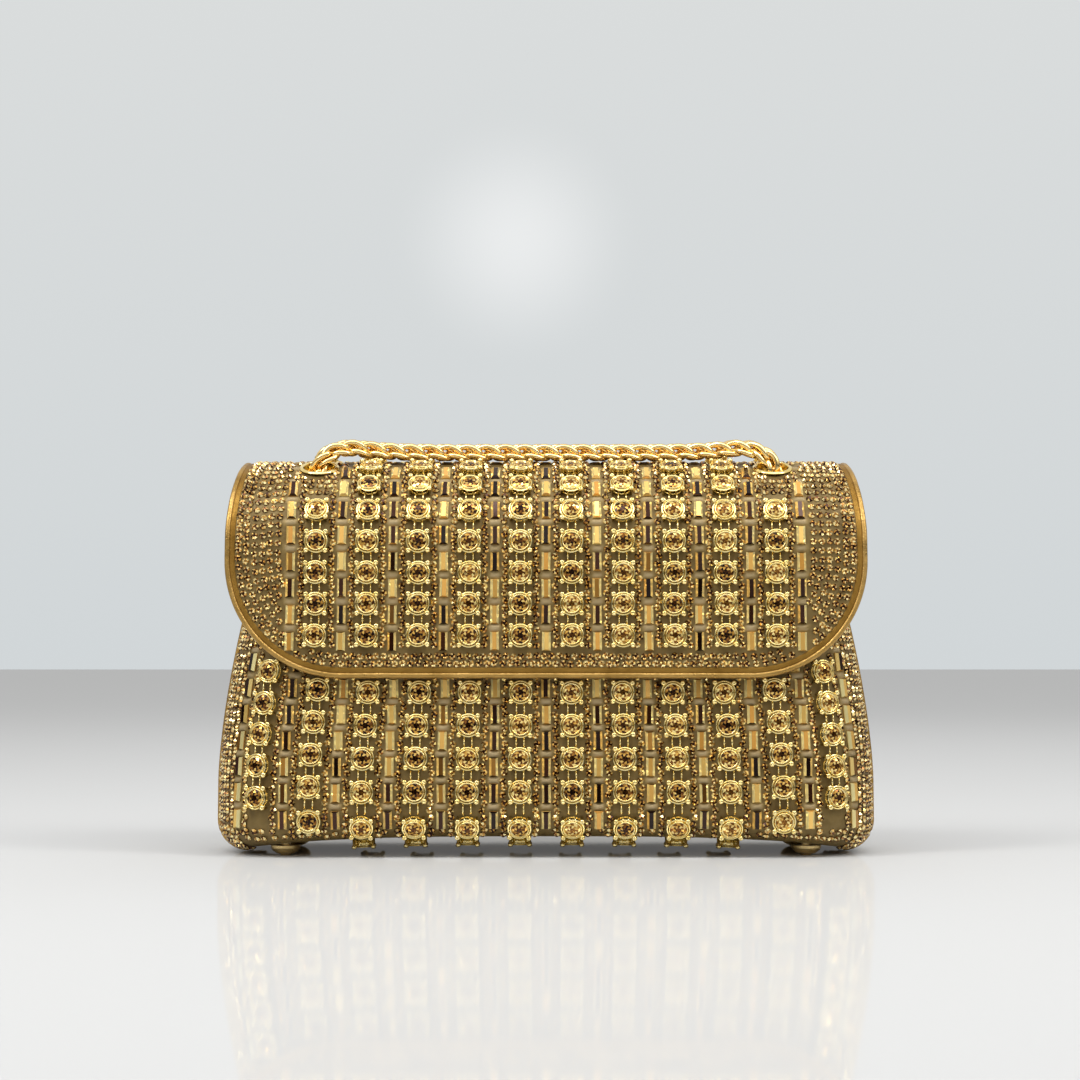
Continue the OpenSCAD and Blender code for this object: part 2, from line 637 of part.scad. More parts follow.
module d_ring() color(bright_gold) translate([ring_x, ring_y, ring_z]) {
    translate([0, d_half, 0]) rotate([90, 0, 0]) cylinder(r = bar_r, h = 2 * d_half, $fn = fine);
    for (y = [-1, 1]) translate([0, y * d_half, 0]) {
        sphere(r = bar_r, $fn = fine);
        translate([0, 0, -d_shank]) cylinder(r = bar_r, h = d_shank, $fn = fine);
    }
    translate([0, 0, -d_shank]) rotate([0, 90, 0]) rotate([0, 0, -90])
        rotate_extrude(angle = 180, $fn = fine) translate([d_half, 0]) circle(r = bar_r, $fn = fine);
}
link_z = ring_z - d_shank - d_half - link_hang;
module chain_link() color(bright_gold)
    translate([ring_x, ring_y, link_z]) rotate([90, 0, 0]) rotate_extrude($fn = fine)
        translate([link_r, 0]) circle(r = link_wire, $fn = fine);

module right_ring_tab() ring_tab();
module left_ring_tab() mirror([1, 0, 0]) ring_tab();
module right_tab_rivet() tab_rivet();
module left_tab_rivet() mirror([1, 0, 0]) tab_rivet();
module right_d_ring() d_ring();
module left_d_ring() mirror([1, 0, 0]) d_ring();
module right_chain_link() chain_link();
module left_chain_link() mirror([1, 0, 0]) chain_link();

front_panel();
back_panel();
left_gusset();
right_gusset();
bottom_panel();
front_board();
back_board();
bottom_board();
front_film();
back_film();
side_films();
front_lining();
back_lining();
left_side_lining();
right_side_lining();
bottom_lining();
slip_pocket();
rim_binding();
side_pipings();
fold_strip();
feet();
foot_washers();
magnet_socket();
magnet_socket_washer();
front_settings();
front_crystals();
front_bars();
front_wires();
back_settings();
back_crystals();
back_bars();
back_wires();
left_ring_tab();
right_ring_tab();
left_tab_rivet();
right_tab_rivet();
left_d_ring();
right_d_ring();
left_chain_link();
right_chain_link();
left_chain_drop();
right_chain_drop();
left_chain_return();
right_chain_return();
flap_leather();
flap_board();
flap_lining();
flap_film();
flap_binding();
flap_settings();
flap_crystals();
flap_bars();
flap_wires();
left_eyelet();
right_eyelet();
eyelet_washers();
magnet_plate();
chain_run();
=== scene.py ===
"""Looks of the evening bag: stones, settings, leather, chain and studio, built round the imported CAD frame.

Lengths in the builders are in millimetres, as on a drawing; mesh_piece() turns them into metres.
"""

import math

import bpy
import numpy as np
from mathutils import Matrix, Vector


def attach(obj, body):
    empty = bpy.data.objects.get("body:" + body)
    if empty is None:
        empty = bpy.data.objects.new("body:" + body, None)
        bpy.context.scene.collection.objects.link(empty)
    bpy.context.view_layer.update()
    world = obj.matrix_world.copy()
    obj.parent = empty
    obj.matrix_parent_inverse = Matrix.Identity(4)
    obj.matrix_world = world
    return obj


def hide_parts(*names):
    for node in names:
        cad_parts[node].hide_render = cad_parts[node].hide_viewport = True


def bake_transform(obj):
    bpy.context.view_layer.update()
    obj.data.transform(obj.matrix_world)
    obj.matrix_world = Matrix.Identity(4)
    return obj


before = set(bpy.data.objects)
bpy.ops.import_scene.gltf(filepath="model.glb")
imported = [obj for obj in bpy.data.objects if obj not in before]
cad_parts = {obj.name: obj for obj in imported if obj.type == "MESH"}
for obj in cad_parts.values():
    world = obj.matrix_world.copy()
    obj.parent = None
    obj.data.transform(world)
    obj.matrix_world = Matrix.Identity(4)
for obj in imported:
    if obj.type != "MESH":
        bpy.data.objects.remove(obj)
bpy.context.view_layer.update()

MM = 0.001
rng = np.random.default_rng(7)

# ---- Driving dimensions, as in the CAD model ------------------------------

BODY_HALF = 109.8        # half the body's widest width
FRONT_DEPTH = 32.0       # the front wall's distance before the middle
BACK_DEPTH = 33.0
FRONT_LEAN = 8.0         # the front wall leans in this much over LEAN_SPAN
LEAN_SPAN = 90.0
WIDEST_Z = 15.0
TAPER_FROM = 24.0        # the sides lean in above this height
TAPER_K = 0.01278
TAPER_POWER = 1.6
RIM_Z = 105.0
FOLD_Z = 99.5
GUSSET_W = 14.0
BOTTOM_ROUND = 9.0
BOTTOM_Z = 6.5
BOTTOM_DROOP = 4.5

ARCH_R = 32.0
ARCH_Y = 1.0
ARCH_Z = 100.3
FLAP_LEAN = math.radians(4.2)
FLAP_LEG = 43.6
FLAP_HALF = 103.0
FLAP_CORNER_R = 39.0
BACK_TAPER = 19.0        # the flap narrows this much at each side towards its back end
FRONT_FLARE = 3.4        # and widens this much towards its front
ARCH_FRONT = math.pi / 2 - FLAP_LEAN
ARCH_FRONT_LEN = ARCH_R * ARCH_FRONT
HEM_S = ARCH_FRONT_LEN + FLAP_LEG
FLAP_BACK = -ARCH_R * math.pi / 2       # where the flap ends, level with the arch's axis

FILM_T = 0.3
LEATHER_IN = 1.3
LINING_OUT = 2.5         # depth of the lining's outer face below the film's
INNER_T = 3.2            # depth of its inner face
FLOOR_LINING = (4.5, 5.2)       # the same two depths in the bottom, where it clears the feet's washers
SETTING_W = 8.0
BODY_PITCH = 17.35
FLAP_PITCH = 16.9
STONE_D = 2.4
BAR_W = 2.95
BAR_L = 6.2
EYELET_X = 76.9
EYELET_A = math.radians(22.5)
HOLE_R = 5.9
SIDES = (("right", 1), ("left", -1))


# ---- The body's surface -----------------------------------------------------

def half_width(z):
    lean = TAPER_K * (z - TAPER_FROM) ** TAPER_POWER if z > TAPER_FROM else 0.0
    return BODY_HALF - lean


def front_out(z):
    return FRONT_DEPTH - FRONT_LEAN * (z - WIDEST_Z) / LEAN_SPAN


def mid_y(z):
    return (BACK_DEPTH - front_out(z)) / 2


def half_depth(z):
    return (BACK_DEPTH + front_out(z)) / 2


def corner_r(z):
    return half_depth(z) - GUSSET_W / 2


def flat_half(z):
    return half_width(z) - corner_r(z)


def wall_run(z):
    return flat_half(z) + corner_r(z) * math.pi / 2


WALL_RUN = wall_run(WIDEST_Z)
CORNER_AT = flat_half(WIDEST_Z) / WALL_RUN


def turned(g, z):
    """How far the wall has turned the corner, in radians, at fraction g of its run."""
    return max(0.0, min(math.pi / 2, (abs(g) * wall_run(z) - flat_half(z)) / corner_r(z)))


def plan(g, z, inset, side):
    """A point of the front (side -1) or back (side 1) wall, from above."""
    t = turned(g, z)
    r = corner_r(z)
    x = flat_half(z) + (r - inset) * math.sin(t) if t > 0 else abs(g) * wall_run(z)
    y = half_depth(z) - r + (r - inset) * math.cos(t)
    return math.copysign(x, g), mid_y(z) + side * y


def under_z(x):
    return BOTTOM_Z - BOTTOM_DROOP * min(1.0, abs(x) / BODY_HALF) ** 3


def base_z(g):
    return under_z(plan(g, WIDEST_Z, 0, -1)[0]) + BOTTOM_ROUND


def top_z(g, side):
    if side < 0:
        return RIM_Z
    return FOLD_Z + (RIM_Z - FOLD_Z) * math.sin(turned(g, RIM_Z)) ** 4


def wall(g, h, inset, side):
    """A point of a wall; h is its height, or the length run round the bottom edge below it."""
    base = base_z(g)
    if h >= base:
        x, y = plan(g, h, inset, side)
        return np.array([x, y, h])
    turn = min(math.pi / 2, (base - h) / BOTTOM_ROUND)
    past = max(0.0, base - h - BOTTOM_ROUND * math.pi / 2)
    r = BOTTOM_ROUND - inset
    x, y = plan(g, base, BOTTOM_ROUND - r * math.cos(turn) + past, side)
    return np.array([x, y, base - r * math.sin(turn)])


def gusset(w, h, inset):
    """A point of the right side gusset; w runs from -1 to 1 across it."""
    base = base_z(1)
    if h >= base:
        return np.array([half_width(h) - inset, mid_y(h) + w * GUSSET_W / 2, h])
    turn = min(math.pi / 2, (base - h) / BOTTOM_ROUND)
    r = BOTTOM_ROUND - inset
    x = half_width(base) - BOTTOM_ROUND + r * math.cos(turn)
    return np.array([x, mid_y(base) + w * GUSSET_W / 2, base - r * math.sin(turn)])


# ---- The flap's surface -----------------------------------------------------

def flap_angle(s):
    return min(ARCH_FRONT, s / ARCH_R)


def flap(x, s, out=0.0):
    """A point of the flap; s runs from the crest, positive down the front."""
    a = flap_angle(s)
    r = ARCH_R + out
    down = max(0.0, s - ARCH_FRONT_LEN)
    return np.array([x, ARCH_Y - r * math.sin(a) - down * math.cos(a),
                     ARCH_Z + r * math.cos(a) - down * math.sin(a)])


def flap_half(s, margin=0.0):
    """Half the flap's width at s, less a margin from its edge."""
    _, y, z = flap(0, s)
    if y > 0:
        half = FLAP_HALF - BACK_TAPER * (y / 33) ** 2
    else:
        half = FLAP_HALF + FRONT_FLARE * min(1.0, -y / 30) ** 1.5
    half -= margin
    r = FLAP_CORNER_R - margin
    mid = flap(0, HEM_S)[2] + FLAP_CORNER_R
    if z < mid:
        half = min(half, FLAP_HALF + FRONT_FLARE - margin - r + math.sqrt(max(0.0, r * r - (mid - z) ** 2)))
    return half


def square_frame(surface, u, v, step=0.05):
    """Origin and axes (across, along, outward) of a surface at u, v, as a point and a 3x3 matrix."""
    p = surface(u, v)
    du = surface(u + step, v) - surface(u - step, v)
    dv = surface(u, v + step) - surface(u, v - step)
    out = np.cross(du, dv)
    out /= np.linalg.norm(out)
    across = du / np.linalg.norm(du)
    along = np.cross(out, across)
    return p, np.column_stack([across, along, out])


def front_surface(d, h):
    return wall(d / WALL_RUN, h, 0, -1)


def back_surface(d, h):
    return wall(-d / WALL_RUN, h, 0, 1)


def right_surface(y, h):
    return gusset(y / (GUSSET_W / 2), h, 0)


def left_surface(y, h):
    return gusset(-y / (GUSSET_W / 2), h, 0) * (-1, 1, 1)


def flap_surface(x, t):
    """The flap with t running up, so that its frames face outwards; t = -s."""
    return flap(x, -t)


# ---- Mesh helpers -----------------------------------------------------------

def mesh_piece(name, shape, material, smooth=True, tones=None, swell=None):
    """An object from a shape: its vertices, in millimetres, and its faces.

    Its material can read tones, one number for each face, or swell, one for each vertex.
    """
    verts, faces = shape
    mesh = bpy.data.meshes.new(name)
    mesh.from_pydata((np.asarray(verts, float) * MM).tolist(), [], faces)
    mesh.materials.append(material)
    mesh.polygons.foreach_set("use_smooth", [smooth] * len(mesh.polygons))
    for key, domain, values in (("tone", "FACE", tones), ("swell", "POINT", swell)):
        if values is not None:
            carried = mesh.attributes.new(key, "FLOAT", domain)
            carried.data.foreach_set("value", np.asarray(values, np.float32))
    mesh.validate()
    mesh.update()
    obj = bpy.data.objects.new(name, mesh)
    bpy.context.scene.collection.objects.link(obj)
    return obj


def revolve(profile, n, turn=0.0):
    """Vertices and faces of a profile of (radius, height) turned round Z; a zero radius closes it."""
    verts = []
    rings = []
    for r, z in profile:
        if r == 0:
            rings.append([len(verts)])
            verts.append((0, 0, z))
            continue
        rings.append(list(range(len(verts), len(verts) + n)))
        for k in range(n):
            a = 2 * math.pi * (k + turn) / n
            verts.append((r * math.cos(a), r * math.sin(a), z))
    faces = []
    for low, high in zip(rings, rings[1:]):
        for k in range(n):
            j = (k + 1) % n
            if len(low) == 1:
                faces.append((low[0], high[j], high[k]))
            elif len(high) == 1:
                faces.append((low[k], low[j], high[0]))
            else:
                faces.append((low[k], low[j], high[j], high[k]))
    return np.array(verts, float), outward(verts, faces)


def torus(big, small, n, m, z):
    points = [(big + small * math.cos(a), z + small * math.sin(a))
              for a in (2 * math.pi * k / m for k in range(m + 1))]
    verts, faces = revolve(points[:-1], n)
    last = (m - 1) * n
    faces += [(last + k, last + (k + 1) % n, (k + 1) % n, k) for k in range(n)]
    return verts, outward(verts, faces)


def box_part(size, centre):
    sx, sy, sz = (s / 2 for s in size)
    corners = [(x, y, z) for z in (-sz, sz) for x, y in ((-sx, -sy), (sx, -sy), (sx, sy), (-sx, sy))]
    faces = [(3, 2, 1, 0), (4, 5, 6, 7)] + [(k, (k + 1) % 4, (k + 1) % 4 + 4, k + 4) for k in range(4)]
    return np.array(corners) + centre, faces


def joined(parts):
    verts = []
    faces = []
    count = 0
    for v, f in parts:
        verts.append(v)
        faces += [tuple(i + count for i in face) for face in f]
        count += len(v)
    return np.vstack(verts), faces


def placed(shape, frame_at):
    """A shape moved into a frame (point, axes)."""
    verts, faces = shape
    point, axes = frame_at
    return point + verts @ axes.T, faces


def scatter(name, template, places, material, smooth=False, spread=0.0):
    """Copies at frames, as one mesh, of a template: a shape, with or without a tone for each face."""
    verts, faces, *tones = template
    all_verts = [placed((verts, faces), at)[0] for at in places]
    all_faces = []
    for i in range(len(places)):
        start = i * len(verts)
        all_faces += [tuple(k + start for k in face) for face in faces]
    all_tones = None
    if tones:
        own = np.repeat(rng.uniform(-spread, spread, len(places)), len(faces))
        all_tones = np.tile(tones[0], len(places)) + own + rng.uniform(-0.5, 0.5, len(own)) * spread
    return mesh_piece(name, (np.vstack(all_verts), all_faces), material, smooth, all_tones)


def loosened(place, shift, tilt, spin=0.0):
    """A frame moved and tilted a little, as a hand would set it."""
    p, axes = place
    dx, dy = rng.uniform(-shift, shift, 2)
    ax, ay = rng.uniform(-tilt, tilt, 2)
    az = rng.uniform(-spin, spin)
    small = np.array([[1, -az, ay], [az, 1, -ax], [-ay, ax, 1]])
    if spin > 1:
        c, s = math.cos(az), math.sin(az)
        small = np.array([[c, -s, ay], [s, c, -ax], [-ay, ax, 1]])
    return p + axes @ (dx, dy, 0), axes @ small


def outward(verts, faces):
    """The faces of a closed solid, all turned over if they pointed inwards."""
    verts = np.asarray(verts, float)
    volume = 0.0
    for face in faces:
        for j, k in zip(face[1:], face[2:]):
            volume += np.dot(verts[face[0]], np.cross(verts[j], verts[k]))
    return faces if volume > 0 else [face[::-1] for face in faces]


def place(piece, body, *nodes):
    """Makes a finished piece ride on a body, standing for CAD nodes, which it hides."""
    if nodes:
        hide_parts(*nodes)
    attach(piece, body)


def arc(r, start, end, n):
    """Points of an arc from one angle to another, in degrees."""
    angles = np.linspace(math.radians(start), math.radians(end), n)
    return [(r * math.cos(a), r * math.sin(a)) for a in angles]


def grid_shell(outer, inner):
    """A closed shell between two grids of points (rows from the bottom up, columns to the right)."""
    rows, cols = len(outer), len(outer[0])
    n = rows * cols
    verts = np.vstack([np.reshape(outer, (n, 3)), np.reshape(inner, (n, 3))])
    faces = []
    for r in range(rows - 1):
        for c in range(cols - 1):
            a = r * cols + c
            faces.append((a, a + 1, a + cols + 1, a + cols))
            faces.append((n + a, n + a + cols, n + a + cols + 1, n + a + 1))
    for c in range(cols - 1):
        last = (rows - 1) * cols + c
        faces.append((c, n + c, n + c + 1, c + 1))
        faces.append((last, last + 1, n + last + 1, n + last))
    for r in range(rows - 1):
        a = r * cols
        b = a + cols - 1
        faces.append((a, a + cols, n + a + cols, n + a))
        faces.append((b, n + b, n + b + cols, b + cols))
    return verts, faces


def swept(loops, closed=False):
    """A solid through loops of points, each with the same count."""
    n = len(loops[0])
    m = len(loops)
    verts = np.vstack([np.asarray(loop) for loop in loops])
    faces = []
    for r in range(m if closed else m - 1):
        for k in range(n):
            j = (k + 1) % n
            a, b = r * n, ((r + 1) % m) * n
            faces.append((a + k, a + j, b + j, b + k))
    if not closed:
        faces.append(tuple(range(n - 1, -1, -1)))
        faces.append(tuple(range((m - 1) * n, m * n)))
    return verts, outward(verts, faces)


# ---- Materials --------------------------------------------------------------

class Nodes:
    """A node tree with short calls for the nodes used here."""

    def __init__(self, tree):
        self.tree = tree

    def node(self, kind, links=None, **settings):
        made = self.tree.nodes.new("ShaderNode" + kind)
        for key, value in settings.items():
            if key in made.inputs:
                made.inputs[key].default_value = value
            else:
                setattr(made, key, value)
        for key, value in (links or {}).items():
            self.tree.links.new(value, made.inputs[key])
        return made

    def feed(self, socket, value):
        """Links an output to a socket, or sets the socket to a plain value."""
        if hasattr(value, "is_output"):
            self.tree.links.new(value, socket)
        else:
            socket.default_value = value

    def ramp(self, fac, stops, interpolation="LINEAR"):
        made = self.node("ValToRGB", {"Fac": fac})
        made.color_ramp.interpolation = interpolation
        bar = made.color_ramp.elements
        while len(bar) < len(stops):
            bar.new(0.5)
        for element, (at, color) in zip(bar, stops):
            element.position = at
            element.color = (*color, 1)
        return made.outputs["Color"]

    def scaled(self, fac, low, high, to_low, to_high):
        made = self.node("MapRange", {"Value": fac})
        for key, value in zip(("From Min", "From Max", "To Min", "To Max"), (low, high, to_low, to_high)):
            made.inputs[key].default_value = value
        return made.outputs["Result"]

    def maths(self, operation, a, b):
        made = self.node("Math", operation=operation)
        self.feed(made.inputs[0], a)
        self.feed(made.inputs[1], b)
        return made.outputs[0]

    def mixed(self, blend_type, factor, a, b):
        made = self.node("Mix", data_type="RGBA", blend_type=blend_type)
        for key, value in (("Factor", factor), ("A", a), ("B", b)):
            self.feed(made.inputs[key], value)
        return made.outputs["Result"]


class Shade(Nodes):
    """A principled material, with the patterns that give it detail."""

    def __init__(self, name, **inputs):
        self.mat = bpy.data.materials.new(name)
        self.mat.use_nodes = True
        super().__init__(self.mat.node_tree)
        self.shader = self.tree.nodes["Principled BSDF"]
        for key, value in inputs.items():
            self.shader.inputs[key.replace("_", " ")].default_value = value
        self.place = None

    def where(self):
        if self.place is None:
            self.place = self.node("TexCoord").outputs["Object"]
        return self.place

    def noise(self, scale, detail=3.0):
        return self.node("TexNoise", {"Vector": self.where()}, Scale=scale, Detail=detail).outputs["Fac"]

    def cells(self, scale):
        return self.node("TexVoronoi", {"Vector": self.where()}, Scale=scale).outputs["Distance"]

    def own(self, attribute):
        """A number that the mesh carries: tone for each facet, or swell for each vertex."""
        return self.node("Attribute", attribute_name=attribute).outputs["Fac"]

    def to(self, socket, value):
        self.tree.links.new(value, self.shader.inputs[socket])

    def bump(self, height, depth, strength=1.0):
        last = self.shader.inputs["Normal"].links
        links = {"Height": height}
        if last:
            links["Normal"] = last[0].from_socket
        made = self.node("Bump", links, Strength=strength, Distance=depth)
        self.to("Normal", made.outputs["Normal"])


def metallic_leather(name, dark, light, rough=0.42, grain=1500.0):
    """Gold-coated leather: fine pebbled grain, a few soft creases, brighter where it has rubbed."""
    s = Shade(name, Metallic=0.82, Roughness=rough)
    patches = s.noise(90, 5)
    s.to("Base Color", s.ramp(patches, [(0.3, dark), (0.7, light)]))
    s.to("Roughness", s.scaled(s.noise(420, 4), 0.3, 0.7, rough - 0.1, rough + 0.14))
    s.bump(s.cells(grain), 0.00012, 0.55)
    s.bump(s.noise(260, 4), 0.00025, 0.4)
    return s.mat


def glue_film():
    """Dull glue with metal dust in it, olive where it is thin; its swellings are painted paler, a painted
    highlight where they catch the light.
    """
    s = Shade("glue_film", Metallic=0.3, Roughness=0.5)
    uneven = s.maths("MULTIPLY", s.noise(160, 5), 0.55)
    # the swell term is painted highlight: raised film between bars is coloured paler as if lit
    uneven_glue_and_swell_highlight = s.maths("ADD", uneven, s.maths("MULTIPLY", s.own("swell"), 0.6))
    tones = [(0.12, (0.11, 0.066, 0.012)), (0.42, (0.23, 0.155, 0.046)), (0.85, (0.40, 0.305, 0.165))]
    s.to("Base Color", s.ramp(uneven_glue_and_swell_highlight, tones))
    s.to("Roughness", s.scaled(s.noise(700, 3), 0.3, 0.7, 0.42, 0.66))
    s.bump(s.noise(900, 4), 0.00018, 0.6)
    return s.mat


def stone(name, stops, rough, metallic):
    """Foiled glass: every facet is painted its own tone, a painted reflection, dark or bright, of what it
    would mirror.
    """
    s = Shade(name, Metallic=metallic, Roughness=rough, Specular_IOR_Level=0.7)
    s.to("Base Color", s.ramp(s.own("tone"), stops))
    s.to("Roughness", s.scaled(s.noise(1200, 2), 0.2, 0.8, rough * 0.6, rough * 1.6))
    return s.mat


def metal(name, dark, light, rough, scratch=0.00004):
    s = Shade(name, Metallic=1.0, Roughness=rough)
    s.to("Base Color", s.ramp(s.noise(200, 4), [(0.3, dark), (0.7, light)]))
    s.to("Roughness", s.scaled(s.noise(900, 4), 0.3, 0.7, rough * 0.75, rough * 1.3))
    s.bump(s.noise(1400, 3), scratch, 0.5)
    return s.mat


def satin(name, dark, light, threads=2600.0):
    """Twill lining: fine crossed threads with a soft sheen."""
    s = Shade(name, Roughness=0.5, Sheen_Weight=0.35, Sheen_Roughness=0.4, Specular_IOR_Level=0.5)
    s.to("Base Color", s.ramp(s.noise(60, 4), [(0.3, dark), (0.7, light)]))
    for direction in ("X", "Z"):
        weave = s.node("TexWave", {"Vector": s.where()}, Scale=threads / 20, Distortion=0.6,
                       wave_type="BANDS", bands_direction=direction)
        s.bump(weave.outputs["Fac"], 0.00006, 0.35)
    s.to("Roughness", s.scaled(s.noise(1500, 3), 0.3, 0.7, 0.42, 0.6))
    return s.mat


def card():
    s = Shade("stiffening_card", Roughness=0.85)
    s.to("Base Color", s.ramp(s.noise(700, 6), [(0.3, (0.20, 0.18, 0.155)), (0.7, (0.36, 0.33, 0.29))]))
    s.bump(s.noise(1600, 4), 0.0001, 0.6)
    return s.mat


GOLD_LEATHER = metallic_leather("gold_leather_grain", (0.40, 0.25, 0.085), (0.62, 0.42, 0.17))
BINDING_LEATHER = metallic_leather("binding_leather", (0.31, 0.18, 0.042), (0.53, 0.33, 0.10), 0.36, 1900.0)
FILM = glue_film()
# Painted reflections: ramps from each facet's tone to the dark or bright colour it is painted, standing in
# for what it mirrors.
SMALL_REFLECTION_TONES = [(0.0, (0.03, 0.006, 0.001)), (0.25, (0.18, 0.062, 0.008)), (0.55, (0.74, 0.42, 0.10)),
               (1.0, (1.0, 0.85, 0.42))]
ROUND_REFLECTION_TONES = [(0.0, (0.012, 0.003, 0.001)), (0.35, (0.24, 0.085, 0.010)), (0.65, (0.74, 0.42, 0.08)),
               (1.0, (1.0, 0.80, 0.32))]
MIRROR_REFLECTION_TONES = [(0.0, (0.012, 0.004, 0.002)), (0.26, (0.06, 0.016, 0.004)), (0.34, (0.80, 0.40, 0.08)),
                (0.7, (1.0, 0.68, 0.20)), (1.0, (1.0, 0.88, 0.42))]
SMALL_STONE = stone("small_topaz", SMALL_REFLECTION_TONES, 0.1, 0.7)
BIG_STONE = stone("round_topaz", ROUND_REFLECTION_TONES, 0.08, 0.75)
MIRROR = stone("mirror_copper", MIRROR_REFLECTION_TONES, 0.05, 0.5)
BRIGHT_GOLD = metal("bright_gold", (0.88, 0.68, 0.24), (1.0, 0.84, 0.42), 0.15)
CHAIN_GOLD = metal("chain_gold", (0.93, 0.62, 0.22), (1.0, 0.76, 0.34), 0.14)
SATIN_GOLD = metal("satin_gold", (0.70, 0.50, 0.20), (0.86, 0.66, 0.32), 0.34, 0.0001)
STEEL = metal("plated_steel_finish", (0.55, 0.55, 0.53), (0.72, 0.71, 0.68), 0.3)
LINING = satin("satin_lining_weave", (0.40, 0.29, 0.155), (0.54, 0.41, 0.24))
CARD = card()
DARK_BINDING = metallic_leather("binding_in_shade", (0.20, 0.10, 0.012), (0.34, 0.19, 0.035), 0.5, 1900.0)
THREAD = satin("stitch_thread", (0.62, 0.45, 0.2), (0.78, 0.6, 0.3), 9000.0)

# The CAD slot that each material is a finish of.
SLOTS = {FILM: "rhinestone_film", LINING: "satin_lining", MIRROR: "mirror_stone"}
SLOTS |= dict.fromkeys((GOLD_LEATHER, BINDING_LEATHER, DARK_BINDING, THREAD), "gold_leather")
SLOTS |= dict.fromkeys((BRIGHT_GOLD, CHAIN_GOLD), "bright_gold_metal")
SLOTS |= dict.fromkeys((SMALL_STONE, BIG_STONE), "topaz_crystal")


# ---- Camera, light and stage ------------------------------------------------

CAM_X = -2.0
CAM_Y = -813.0
CAM_Z = 70.0
PICTURE_PLANE_Y = -33.0
AIM_Z = 104.65           # height at the picture's middle, in the plane of the bag's front
PICTURE_SPAN = 356.4     # width of that plane that the picture shows
SENSOR = 36.0


def camera():
    data = bpy.data.cameras.new("camera")
    reach = PICTURE_PLANE_Y - CAM_Y
    rise = AIM_Z - CAM_Z
    data.sensor_width = SENSOR
    data.lens = SENSOR * math.hypot(reach, rise) / PICTURE_SPAN
    data.clip_end = 50
    obj = bpy.data.objects.new("camera", data)
    obj.location = Vector((CAM_X, CAM_Y, CAM_Z)) * MM
    obj.rotation_euler = (math.pi / 2 + math.atan2(rise, reach), 0, 0)
    bpy.context.scene.collection.objects.link(obj)
    bpy.context.scene.camera = obj


def area_light(name, at, look, size, power, color=(1, 1, 1)):
    data = bpy.data.lights.new(name, "AREA")
    data.shape = "RECTANGLE"
    data.size, data.size_y = size
    data.energy = power
    data.color = color
    obj = bpy.data.objects.new(name, data)
    obj.location = at
    obj.rotation_euler = (Vector(look) - Vector(at)).to_track_quat("-Z", "Y").to_euler()
    bpy.context.scene.collection.objects.link(obj)
    return obj


GLOW_TOWARDS = (-0.01, 0.985, 0.17)     # where the pale surroundings are brightest
PALE_BEHIND = 0.42                      # the wall behind the bag, as the table mirrors it
# What metal and stones mirror, from the horizon up: a pale skirting, a dark band, then the bright room.
ROOM_TONES = [(0.02, (0.36, 0.36, 0.36)), (0.085, (0.02, 0.02, 0.019)), (0.13, (0.03, 0.03, 0.0285)),
              (0.21, (0.4, 0.4, 0.38)), (0.4, (0.86, 0.855, 0.845))]
WALL_TONES = [(0.0, (0.64, 0.675, 0.69)), (0.27, (0.70, 0.72, 0.72))]
HALO_TONES = [(0.0, (0.9, 0.91, 0.92)), (0.055, (0.0, 0.0, 0.0))]


def lamps():
    """Softboxes, too high for the table to mirror them into a view from the side."""
    middle = (0, 0, 0.06)
    area_light("top_softbox", (0.0, -0.42, 1.0), middle, (1.2, 0.35), 4.9)
    area_light("left_softbox", (-0.72, -0.56, 0.98), middle, (0.3, 0.7), 5.5, (1, 0.98, 0.95))
    area_light("right_softbox", (0.78, -0.5, 0.94), middle, (0.24, 0.7), 4.6, (1, 0.97, 0.93))
    back_lamp = area_light("back_softbox", (0.2, 0.9, 1.0), middle, (1.0, 0.5), 1.5)
    back_lamp.visible_glossy = False     # or the table mirrors it beside the bag


def surroundings():
    """A pale wall with a soft glow for the camera, and a room with a dark band round it for the mirrors."""
    world = bpy.data.worlds.new("studio")
    bpy.context.scene.world = world
    world.use_nodes = True
    world.node_tree.nodes.clear()
    w = Nodes(world.node_tree)
    direction = w.node("TexCoord").outputs["Generated"]
    parts = w.node("SeparateXYZ", {"Vector": direction}).outputs
    behind = w.scaled(parts["Y"], 0.8, 0.95, 0.0, PALE_BEHIND)
    room = w.mixed("LIGHTEN", 1.0, w.ramp(parts["Z"], ROOM_TONES), behind)
    glow = w.node("VectorMath", operation="DISTANCE")
    w.feed(glow.inputs[0], direction)
    w.feed(glow.inputs[1], GLOW_TOWARDS)
    halo = w.ramp(glow.outputs["Value"], HALO_TONES, "EASE")
    wall_seen = w.mixed("SCREEN", 0.5, w.ramp(parts["Z"], WALL_TONES), halo)
    color = w.mixed("MIX", w.node("LightPath").outputs["Is Camera Ray"], room, wall_seen)
    back = w.node("Background", {"Color": color})
    w.node("OutputWorld", {"Surface": back.outputs["Background"]})


def table():
    s = Shade("white_table", Base_Color=(0.61, 0.618, 0.622, 1), Metallic=0.25, Specular_IOR_Level=0.0)
    s.to("Roughness", s.scaled(s.noise(3, 3), 0.3, 0.7, 0.03, 0.06))
    size = 6000
    verts = [(-size, -size, 0), (size, -size, 0), (size, size, 0), (-size, size, 0)]
    obj = mesh_piece("table", (verts, [(0, 1, 2, 3)]), s.mat)


bpy.context.scene.view_settings.view_transform = "Standard"
camera()

# ---- Chain ------------------------------------------------------------------

